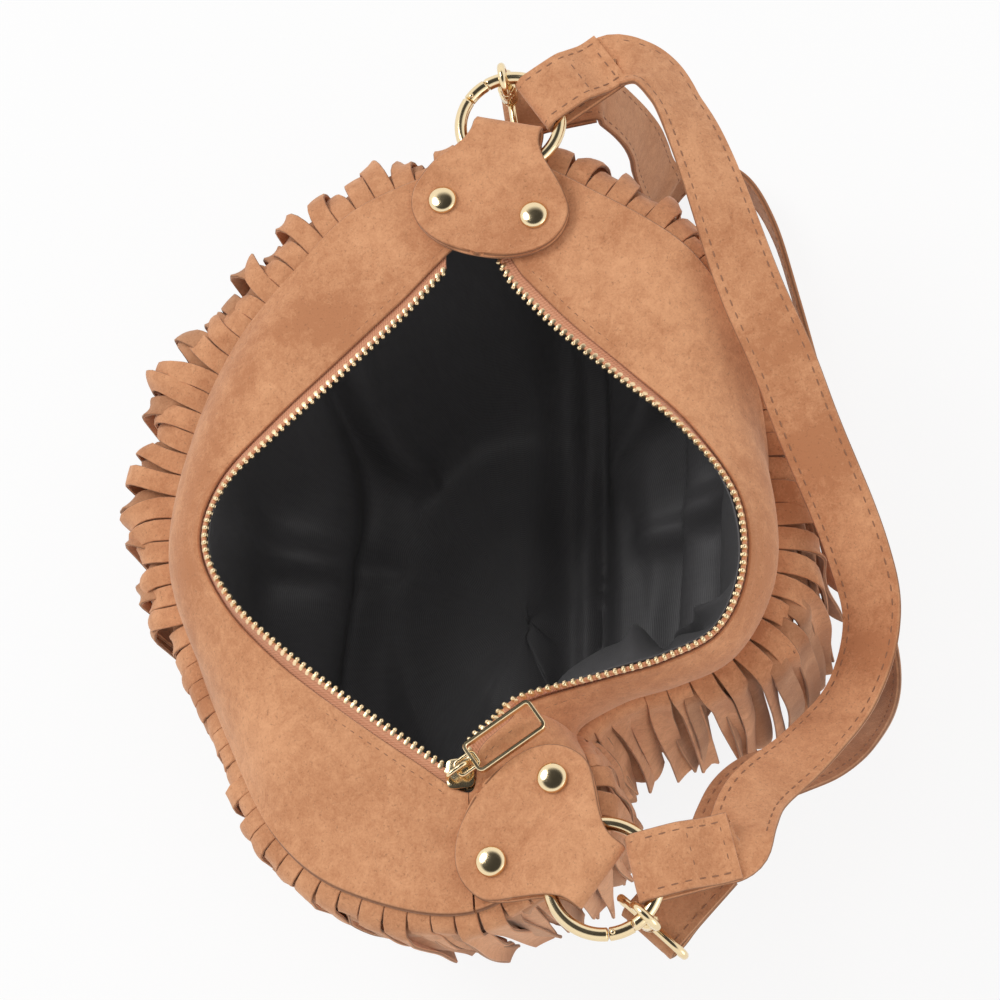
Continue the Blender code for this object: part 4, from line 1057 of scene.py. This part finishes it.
for which in TABS:
    spec, ahead, side, start, centre = tab_values(which)
    turn = POCKET + TAB_PLY / 2
    fold, lift = TAB_LENGTH - TAB_PLY / 2 - turn, TAB_PLY + GAP
    under = [(u * MM, 0) for u in (-0.27, -0.15, 0.2, 1, 2.5, 5, 8, 12, 16, 20, 25, 30, 35, 39)]
    bend = [(fold + turn * math.sin(a), turn - turn * math.cos(a))
            for a in np.linspace(0, math.pi, 9)]
    over = [(34 * MM, 2 * turn), (30 * MM, 2 * turn), (27 * MM, 1.9 * turn),
            (24 * MM, lift + 2.2 * MM), (21 * MM, lift + 0.4 * MM)]
    over += [(u * MM, lift) for u in (18, 15, 12, 8, 5, 2.5, 1, 0.2, -0.15, -0.27)]
    path = np.array(under + bend + over)
    fine = curve(path, np.linspace(0, len(path) - 1, 190), closed=False)
    w = np.sin(np.linspace(-1, 1, 21) * math.pi / 2)
    half_width = tab_half_width(fine[:, 0])[:, None] * w[None]
    spine = start + ahead * fine[:, :1] + UP * (TAB_Z + fine[:, 1:])
    middle = spine[:, None] + side * half_width[..., None]
    upper = eased_step((fine[:, 1] - 1.0 * MM) / MM)[:, None]
    middle = middle + UP * (upper * (0.35 * MM * ripple(middle, 30 * MM, 31)
                                     + 0.25 * MM * w[None] ** 4))[..., None]
    piece("tab_" + which, sheet(middle, TAB_PLY, 0.7), "suede", nodes=["tab_" + which])

# %% Rivets
RIVET_CAP, RIVET_DOME, RIVET_POST = 4.5 * MM, 2.2 * MM, 1.5 * MM
for which in TABS:
    spec, ahead, side, start, centre = tab_values(which)
    for number, sign in ((1, -1), (2, 1)):
        spot = start + ahead * RIVET_INSET + side * RIVET_SPACING / 2 * sign
        high, low = TAB_TOP + GAP, RIM_HEIGHT - SUEDE / 2 - GAP
        a = np.linspace(0, math.pi / 2, 12)
        dome = [(RIVET_CAP * math.sin(x) ** 0.9, high + 0.35 * MM + (RIVET_DOME - 0.35 * MM)
                 * math.cos(x) ** 0.8) for x in a]
        profile = dome + [
            (RIVET_CAP, high + 0.15 * MM), (RIVET_CAP * 0.97, high), (RIVET_POST, high),
            (RIVET_POST, low), (RIVET_CAP * 0.78, low), (RIVET_CAP * 0.8, low - 0.2 * MM),
            (RIVET_CAP * 0.78, low - MM), (0, low - MM)]
        name = f"rivet_{which}_{number}"
        piece(name, turned(spot, profile, 48), "gold", nodes=[name], smooth=40)

# %% [markdown]
# ## Gate rings
#
# Each ring is a round wire bent to a circle, with a curved gate that swings inwards on a pin. The
# cut faces slant, so that the gate's free end passes the fixed bow. A circle carried along the
# ring's arc gives both, and a short pin with two heads marks the hinge.

# %% Rings and gates
RING_RADIUS, GATE_ARC, TIP_GAP = 16 * MM, math.radians(34), 0.5 * MM
PIN_HEAD = ((0, 0.55), (0.55, 0.5), (0.8, 0.25), (0.8, -0.5), (0, -0.5))


def bevelled(angles, radius, depth=0.35 * MM):
    """A wire's scale along its length: 1, but 0.8 at both ends, over a short bevel."""
    scale = np.ones(len(angles))
    scale[[0, -1]] = 0.8
    run = np.abs(angles - angles[0]) * radius
    inner = np.interp([depth, run[-1] - depth], run, angles)
    return np.sort(np.concatenate([angles, inner])), np.insert(scale, [1, len(scale) - 1], [1, 1])


def ring_arc(centre, start, end, count):
    """Points of the ring's middle line between two angles, and their wire scale."""
    angles, scale = bevelled(np.linspace(min(start, end), max(start, end), count), RING_RADIUS)
    return centre + level(angles) * RING_RADIUS, scale


for which in TABS:
    spec, ahead, side, start, centre = tab_values(which)
    pin, turn = spec["heading"] + spec["pin"], spec["turn"]
    gate_from = pin + turn * RING_WIRE * 1.15 / RING_RADIUS
    gate_to = pin + turn * GATE_ARC
    tip = gate_to + turn * TIP_GAP / RING_RADIUS
    heel = gate_from - turn * GAP / RING_RADIUS + turn * 2 * math.pi
    hinge = centre + level(gate_from) * (RING_RADIUS - RING_WIRE)
    bow_path, bow_scale = ring_arc(centre, tip, heel, 130)
    gate_path, gate_scale = ring_arc(centre, gate_from, gate_to, 30)
    bow_end, gate_end = (0, -1) if turn > 0 else (-1, 0)
    tips = [centre + level(angle) * RING_RADIUS for angle in (tip, gate_to)]
    bow = wire(bow_path, UP, RING_WIRE, scale=bow_scale, sides=28,
               slants=[(bow_end, tips[0], tips[0] - hinge)])
    gate = wire(gate_path, UP, RING_WIRE, scale=gate_scale, sides=28,
                slants=[(gate_end, tips[1], tips[1] - hinge)])
    head = centre + level(gate_from + turn * 0.075) * (RING_RADIUS - 0.2 * MM)
    pins = [turned(head, [(r * MM, RING_Z + sign * (RING_WIRE - 0.12 * MM + z * MM))
                          for r, z in PIN_HEAD], 16) for sign in (1, -1)]
    piece("ring_" + which, bow, "gold", "ring_" + which, ["ring_" + which])
    piece("ring_gate_" + which, together(gate, *pins), "gold", "gate_" + which,
          ["ring_gate_" + which])

# %% [markdown]
# ## Snap hooks
#
# The second strap is clipped to the rings by swivel hooks. A hook is a tapered wire jaw on a
# turned barrel, a sprung lever that closes the jaw, and an eye whose stem turns in the barrel.
# The eye is one closed wire with a flat side for the strap.

# %% Hooks, levers and eyes
JAW_WIRE, LEVER_WIRE, NOSE_ANGLE, LEVER_FOOT = 1.3 * MM, 1.1 * MM, 165, 228
BARREL_RADIUS, BARREL_LENGTH, EYE_WIRE, EYE_HEIGHT = 2.9 * MM, 9 * MM, 1.3 * MM, 7 * MM
STEM_RADIUS, STEM_DEPTH, STRAP_WIDTH, FLAP_LENGTH = 1.3 * MM, 4.5 * MM, 19 * MM, 26 * MM
JAW_RADIUS = RING_WIRE + JAW_WIRE + 1.1 * MM
JAW_Z = RING_Z + RING_WIRE + GAP + JAW_WIRE - JAW_RADIUS
BARREL_TOP = JAW_Z - JAW_RADIUS + JAW_WIRE * 0.4
BARREL_END = BARREL_TOP - BARREL_LENGTH
EYE_TOP = BARREL_END - 2.5 * MM
EYE_Z = EYE_TOP - EYE_HEIGHT
EYE_SPAN = STRAP_WIDTH + 2 * EYE_WIRE + 3 * MM
# Profiles in shares of a radius and millimetres: down from the barrel's top, up from its end.
BARREL_UPPER = ((0, 0), (0.72, 0), (0.86, 0.35), (0.86, 1.1), (1, 1.5), (1, 2.9), (0.9, 3.2),
                (0.9, 3.7), (1, 4.0))
BARREL_LOWER = ((1, 1.8), (0.9, 1.3), (0.95, 0.5), (0.8, 0))
# One side of the eye, from the middle of its top to the end of its flat side.
EYE_SIDE = ((0.35, EYE_TOP), (0.72, EYE_TOP - 0.6 * MM), (0.94, EYE_TOP - 2.0 * MM),
            (1, EYE_TOP - 3.6 * MM), (1, EYE_Z + 1.6 * MM), (0.94, EYE_Z + 0.3 * MM), (0.8, EYE_Z),
            (0.4, EYE_Z))


def hook_place(which):
    """Where a hook hangs on its ring, and the direction across the ring there."""
    spec, *_, centre = tab_values(which)
    radial = level(spec["heading"] + spec["hook"])
    return centre + radial * RING_RADIUS, radial


def jaw_arc(centre, radial, degrees):
    """Points of the jaw's circle, whose plane stands upright across the ring."""
    a = np.radians(degrees)[:, None]
    return centre + radial * JAW_RADIUS * np.cos(a) + UP * JAW_RADIUS * np.sin(a)


for which in TABS:
    spot, radial = hook_place(which)
    middle = np.array([spot[0], spot[1], JAW_Z])
    plane = np.cross(radial, UP)
    tip_angle = NOSE_ANGLE + math.degrees(TIP_GAP / JAW_RADIUS)
    hinge = jaw_arc(middle, radial, np.array([LEVER_FOOT]))[0]
    tip, nose = jaw_arc(middle, radial, np.array([tip_angle, NOSE_ANGLE]))
    degrees = np.linspace(-90, NOSE_ANGLE, 60)
    taper = np.interp(degrees, [-90, -40, NOSE_ANGLE - 12, NOSE_ANGLE], [1.25, 1.0, 0.98, 0.9])
    jaw = wire(jaw_arc(middle, radial, degrees), plane, JAW_WIRE, scale=taper, sides=20,
               slants=[(-1, nose, nose - hinge)])
    profile = [(BARREL_RADIUS * share, BARREL_TOP - down * MM) for share, down in BARREL_UPPER]
    profile += [(BARREL_RADIUS * share, BARREL_END + rise * MM) for share, rise in BARREL_LOWER]
    bore, bottom = STEM_RADIUS + GAP, BARREL_END + STEM_DEPTH + GAP
    profile += [(bore, BARREL_END), (bore, bottom), (0, bottom)]
    piece("hook_" + which, together(jaw, turned(spot, profile, 36)), "gold",
          nodes=["hook_" + which], smooth=35)
    degrees = np.linspace(tip_angle, LEVER_FOOT, 30)
    lever = wire(jaw_arc(middle, radial, degrees), plane, LEVER_WIRE, sides=18,
                 slants=[(0, tip, tip - hinge)])
    thumb = blocks(jaw_arc(middle, radial, np.array([205.0])) - radial * 0.9 * MM,
                   UP[None] * 1.3 * MM, radial[None] * 0.9 * MM, plane[None] * 0.9 * MM, 0.6, 12, 6)
    piece("hook_lever_" + which, together(lever, thumb), "gold", "lever_" + which,
          ["hook_lever_" + which])
    mirrored = [(-s, z) for s, z in EYE_SIDE[::-1]]
    outline = mirrored[-1:] + [(0, EYE_TOP), *EYE_SIDE, (0, EYE_Z)] + mirrored[:-1]
    flat = np.array([spot[0], spot[1], 0])
    loop = np.array([flat + radial * s * EYE_SPAN / 2 + UP * z for s, z in outline])
    loop = curve(loop, np.linspace(0, len(loop), 110, endpoint=False))
    stem = [(0, BARREL_END + STEM_DEPTH), (STEM_RADIUS * 0.9, BARREL_END + STEM_DEPTH),
            (STEM_RADIUS, BARREL_END + STEM_DEPTH - 0.2 * MM), (STEM_RADIUS, BARREL_END - 0.6 * MM),
            (STEM_RADIUS * 1.7, BARREL_END - 0.9 * MM), (STEM_RADIUS * 1.7, BARREL_END - 1.5 * MM),
            (STEM_RADIUS, BARREL_END - 1.9 * MM), (STEM_RADIUS, EYE_TOP), (0, EYE_TOP)]
    piece("hook_eye_" + which, together(wire(loop, plane, EYE_WIRE, closed=True, sides=18),
                                        turned(spot, stem, 24)),
          "gold", "eye_" + which, ["hook_eye_" + which], smooth=40)

# %% [markdown]
# ## Zip slider and pull
#
# The slider is two plates on a neck, with a bridge over the upper one. The pull hangs in the
# bridge by a small U-shaped link, and is an open frame of thin upright walls. Plates are rounded
# blocks, wires are swept circles, and the frame is an upright rectangle carried round its outline.

# %% Slider and pull
SLIDER_LENGTH, SLIDER_WIDTH, SLIDER_PLATE = 9 * MM, 8.4 * MM, 1.0 * MM
BRIDGE_WIRE, BRIDGE_SPAN, PULL_THICK = 0.75 * MM, 7.2 * MM, 1.8 * MM
PULL_LENGTH, PULL_WIDTH, PULL_HEADING = 29 * MM, 10.5 * MM, math.radians(121)
slider = rim_line(np.array([BOTTOM_STATION - STRAND_END, BOTTOM_STATION + STRAND_END])).mean(0)
slider = slider + np.array([1.0 * MM, 0, 0])
low, high = RIM_HEIGHT - 0.1 * MM - BEAD_HEIGHT - GAP, YOKE_TOP + GAP
deck, crest = high + SLIDER_PLATE, TAB_TOP + GAP + PULL_THICK + GAP + BRIDGE_WIRE
across, side = np.array([[1.0, 0, 0]]), np.array([[0, 1.0, 0]])
flat = slider * (1, 1, 0)


def plate(middle_z):
    """One rounded plate of the slider at a height."""
    return blocks((flat + UP * middle_z)[None], across * SLIDER_LENGTH / 2,
                  side * SLIDER_WIDTH / 2, UP[None] * SLIDER_PLATE / 2, 0.4, 40, 9)


neck = blocks((flat + np.array([3 * MM, 0, (low + high) / 2]))[None], across * 1.2 * MM,
              side * 1.2 * MM, UP[None] * (high - low + SLIDER_PLATE) / 2, 0.4, 16, 5)
ahead, beside = level(PULL_HEADING), level(PULL_HEADING + math.pi / 2)
leg = [(1, deck - 0.4 * MM), (0.99, deck + 1.5 * MM), (0.97, crest - 2.2 * MM),
       (0.85, crest - 0.5 * MM), (0.5, crest)]
arch = [(-x, z) for x, z in leg] + [(0, crest)] + leg[::-1]
bridge_line = along_line([flat + ahead * x * BRIDGE_SPAN / 2 + UP * z for x, z in arch], 60)
bridge = wire(bridge_line, beside, BRIDGE_WIRE, sides=16)
plates = plate(high + SLIDER_PLATE / 2), plate(low - SLIDER_PLATE / 2)
piece("zip_slider", together(*plates, neck, bridge), "gold", nodes=["zip_slider"], smooth=40)

pull_level = crest - BRIDGE_WIRE - GAP - PULL_THICK / 2
hinge = flat + UP * pull_level
LINK_WIRE, LINK_HALF, LINK_LENGTH = 0.62 * MM, 2.25 * MM, 6.6 * MM
WALL, CORNER, BEVEL = 1.15 * MM, 1.3 * MM, 0.22 * MM


def rounded_outline(start, end, half, corner, count):
    """Points round a rectangle with quarter-circle corners, in the pull's own directions."""
    corners = [(end - corner, half - corner, 0), (start + corner, half - corner, 90),
               (start + corner, corner - half, 180), (end - corner, corner - half, 270)]
    turns = [(x, y, math.radians(a + b)) for x, y, a in corners for b in np.linspace(0, 90, 7)]
    points = [(x + corner * math.cos(a), y + corner * math.sin(a)) for x, y, a in turns]
    points = np.array(points + points[:1])
    run = distances(points, 0)
    marks = np.linspace(0, run[-1], count, endpoint=False)
    return np.stack([np.interp(marks, run, points[:, k]) for k in (0, 1)], 1)


def laid(outline):
    """An outline laid level from the pull's hinge."""
    return hinge + ahead * outline[:, :1] + beside * outline[:, 1:]


link = wire(laid(rounded_outline(0, LINK_LENGTH, LINK_HALF, 1.1 * MM, 72)), UP, LINK_WIRE,
            closed=True, sides=14)
wall_low, wall_high = -PULL_THICK / 2, PULL_THICK / 2 + 1.5 * MM
outline = rounded_outline(LINK_LENGTH - 1.2 * MM, PULL_LENGTH - WALL / 2,
                          PULL_WIDTH / 2 - WALL / 2, CORNER, 150)
path = laid(outline)
along = unit(np.roll(path, -1, 0) - np.roll(path, 1, 0))
cuts = ((1, -1, 1, 0), (1, -1, 0, 1), (1, 1, 0, 1), (1, 1, 1, 0),
        (-1, 1, 1, 0), (-1, 1, 0, 1), (-1, -1, 0, 1), (-1, -1, 1, 0))
section = [(x * (WALL / 2 - dx * BEVEL), (wall_low if y < 0 else wall_high) - y * dy * BEVEL)
           for x, y, dx, dy in cuts]
frame_walls = sweep(path, np.cross(UP[None], along), np.broadcast_to(UP, path.shape), section,
                    closed=True)
piece("zip_pull", together(link, frame_walls), "gold", "pull", ["zip_pull"], smooth=30)

# %% [markdown]
# ## Straps
#
# The shoulder strap is two plies of suede sewn along both edges. Each end goes round a ring and
# is sewn back on itself. It is one sheet along a smooth path, with a roll that turns it about its
# own line. The second strap is made the same way. It runs from hook to hook behind the bag, round
# the flat side of each hook's eye, and it is made in two halves.

# %% Strap paths
SHOULDER_ROUTE = [
    (-139, 56, 152, -30), (-126, 64, 151, -40), (-105, 71, 151, -25), (-62, 81, 152, -5),
    (-38, 89, 145, 0), (-18, 95, 133, 5), (12, 105, 113, 12), (35, 108, 103, 25),
    (58, 100, 104, 30), (77, 85, 116, 22), (94, 69, 134, 8),
]
CLIP_ROUTE = [
    (-141, 46, 108, 0), (-139, 50, 72, 0), (-139, 51, 34, 40), (-146, 49, 14, 80),
    (-160, 50, 10.6, 90), (-169, 62, 10.6, 90), (-161, 78, 10.6, 90), (-142, 87, 10.6, 90),
    (-112, 93, 10.6, 90), (-70, 100, 10.6, 90), (-30, 107, 10.6, 90), (10, 112, 11.5, 84),
    (44, 108, 32, 55), (70, 92, 76, 25), (88, 66, 116, 5),
]
EDGE_INSET, STRAP_STITCH, CROSS_ROWS = 2.0 * MM, 4.0 * MM, (2.5 * MM, 13.5 * MM)
ROW_PROUD, CROSS_PROUD, CROSS_HALF = 0.15 * MM, 0.18 * MM, 6.3 * MM


def ring_loop(which):
    """A strap end's path round the ring's wire, from the flap's free end to the strap."""
    spec, *_, centre = tab_values(which)
    ahead = level(spec["heading"] + spec["strap"])
    turn = POCKET + STRAP_THICK / 2
    lap = turn - STRAP_THICK - GAP
    nose = math.sqrt(RING_RADIUS ** 2 - (STRAP_WIDTH / 2) ** 2) - GAP
    far = nose + FLAP_LENGTH
    path = [(far, -lap), (nose + 20 * MM, -lap), (nose + 14.5 * MM, turn * 0.5),
            (nose + 10.5 * MM, turn)]
    path += [(nose - turn * math.sin(a), turn * math.cos(a)) for a in np.linspace(0, math.pi, 7)]
    path += [(nose + 10.5 * MM, -turn), (nose + 20 * MM, -turn), (far, -turn)]
    return np.array([centre + ahead * s + UP * n for s, n in path]), ahead


def eye_loop(which):
    """The second strap's path round the flat side of a hook's eye."""
    spot, bar = hook_place(which)
    ahead = np.cross(UP, bar) * (-1 if which == "top" else 1)
    turn = EYE_WIRE + GAP + STRAP_THICK / 2
    lap = turn - STRAP_THICK - GAP
    path = [(FLAP_LENGTH, lap), (11 * MM, lap), (7 * MM, -turn * 0.2), (3.5 * MM, -turn)]
    path += [(-turn * math.sin(a), -turn * math.cos(a)) for a in np.linspace(0, math.pi, 7)]
    path += [(6 * MM, turn), (14 * MM, turn), (FLAP_LENGTH, turn)]
    middle = np.array([spot[0], spot[1], EYE_Z])
    return np.array([middle + ahead * s + UP * n for s, n in path]), ahead


def strap_path(head, tail, route, steps):
    """Points and sideways directions of a whole strap, finely spaced.

    Between the two end loops the path is a smooth curve through the route's places. The sideways
    direction there is level and across the path, turned about the path by the route's roll."""
    spots = np.array(route, float)
    keys = np.vstack([head[0][-1], spots[:, :3] * MM, tail[0][-1]])
    rolls = np.concatenate([[0], np.radians(spots[:, 3]), [0]])
    lead = np.vstack([head[0][-2], keys, tail[0][-2]])
    at = np.linspace(1, len(lead) - 2, steps)[1:-1]
    middle = curve(lead, at, closed=False)
    roll = np.interp(at - 1, np.arange(len(keys)), rolls)[:, None]
    along = unit(np.gradient(middle, axis=0))
    left = unit(np.stack([-along[:, 1], along[:, 0], 0 * along[:, 0]], 1))
    side = left * np.cos(roll) + np.cross(along, left) * np.sin(roll)
    points = np.vstack([head[0], middle, tail[0][::-1]])
    sides = np.vstack([np.tile(np.cross(UP, head[1]), (len(head[0]), 1)), side,
                       np.tile(-np.cross(UP, tail[1]), (len(tail[0]), 1))])
    fine = along_line(np.hstack([points, sides]), 520)
    return fine[:, :3], unit(fine[:, 3:])


def strap_shape(points, sides):
    """The sheet of a strap: w across from -1 to 1, with a slight quilt between its two seams."""
    w = np.array([-1, -0.9, -0.8, -0.7, -0.4, 0, 0.4, 0.7, 0.8, 0.9, 1])
    seams = np.exp(-((np.abs(w) - 1 + 2 * EDGE_INSET / STRAP_WIDTH) / 0.06) ** 2)
    grid = points[:, None] + sides[:, None] * w[None, :, None] * STRAP_WIDTH / 2
    normal = unit(np.cross(sides, np.gradient(points, axis=0)))[:, None]
    grid = grid + normal * (ripple(grid, 34 * MM, 41) * 0.12 * MM)[..., None]
    return sheet(grid, np.broadcast_to(STRAP_THICK * (1 - 0.16 * seams), grid.shape[:2]), 0.5)


def strap_stitches(points, sides, flap_rows=(1, 1)):
    """Two rows of stitches near the edges, and two rows across each sewn-down flap.

    A stitch is as high as the strap is thick, so one block shows on both faces."""
    run = distances(points, 0)
    normal = unit(np.cross(sides, np.gradient(points, axis=0)))
    marks = np.arange(2 * MM, run[-1] - 2 * MM, STRAP_STITCH / 2)

    def read(table):
        return np.stack([np.interp(marks, run, table[:, k]) for k in range(3)], 1)

    line, side, lift = read(points), unit(read(sides)), unit(read(normal))
    rows = [stitch_row(line + side * (STRAP_WIDTH / 2 - EDGE_INSET) * sign, side, lift,
                       STRAP_THICK / 2 + ROW_PROUD) for sign in (-1, 1)]
    ends = [mark for row in CROSS_ROWS for mark, used in (
        (row, flap_rows[0]), (run[-1] - row, flap_rows[1])) if used]
    for mark in ends:
        middle, cross, top = (np.array([np.interp(mark, run, table[:, k]) for k in range(3)])
                              for table in (points, sides, normal))
        w = np.arange(-CROSS_HALF, CROSS_HALF + 0.1 * MM, STRAP_STITCH / 2)[:, None]
        cross, top = unit(cross), unit(top)
        rows.append(stitch_row(middle + cross * w, np.tile(np.cross(cross, top), (len(w), 1)),
                               np.tile(top, (len(w), 1)), STRAP_THICK / 2 + CROSS_PROUD))
    return together(*rows)


shoulder = strap_path(ring_loop("top"), ring_loop("bottom"), SHOULDER_ROUTE, 44)
piece("shoulder_strap", strap_shape(*shoulder), "suede", nodes=["shoulder_strap"])
piece("shoulder_strap_stitches", strap_stitches(*shoulder), "thread")

# %% The second strap in two halves
clip_points, clip_sides = strap_path(eye_loop("top"), eye_loop("bottom"), CLIP_ROUTE, 56)
middle = len(clip_points) // 2
for which, part in (("top", slice(0, middle + 1)), ("bottom", slice(middle, None))):
    points, sides = clip_points[part], clip_sides[part]
    # The second strap gets the darker suede: painted shade where it runs under the shoulder strap
    # and behind the bag.
    strap = piece("clip_strap_" + which, strap_shape(points, sides), "suede_dark", None,
                  ["clip_strap"])
    rows = (1, 0) if which == "top" else (0, 1)
    seams = piece("clip_strap_stitches_" + which, strap_stitches(points, sides, rows), "thread",
                  None)
    for item in (strap, seams):
        "eye_" + which
        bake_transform(item)
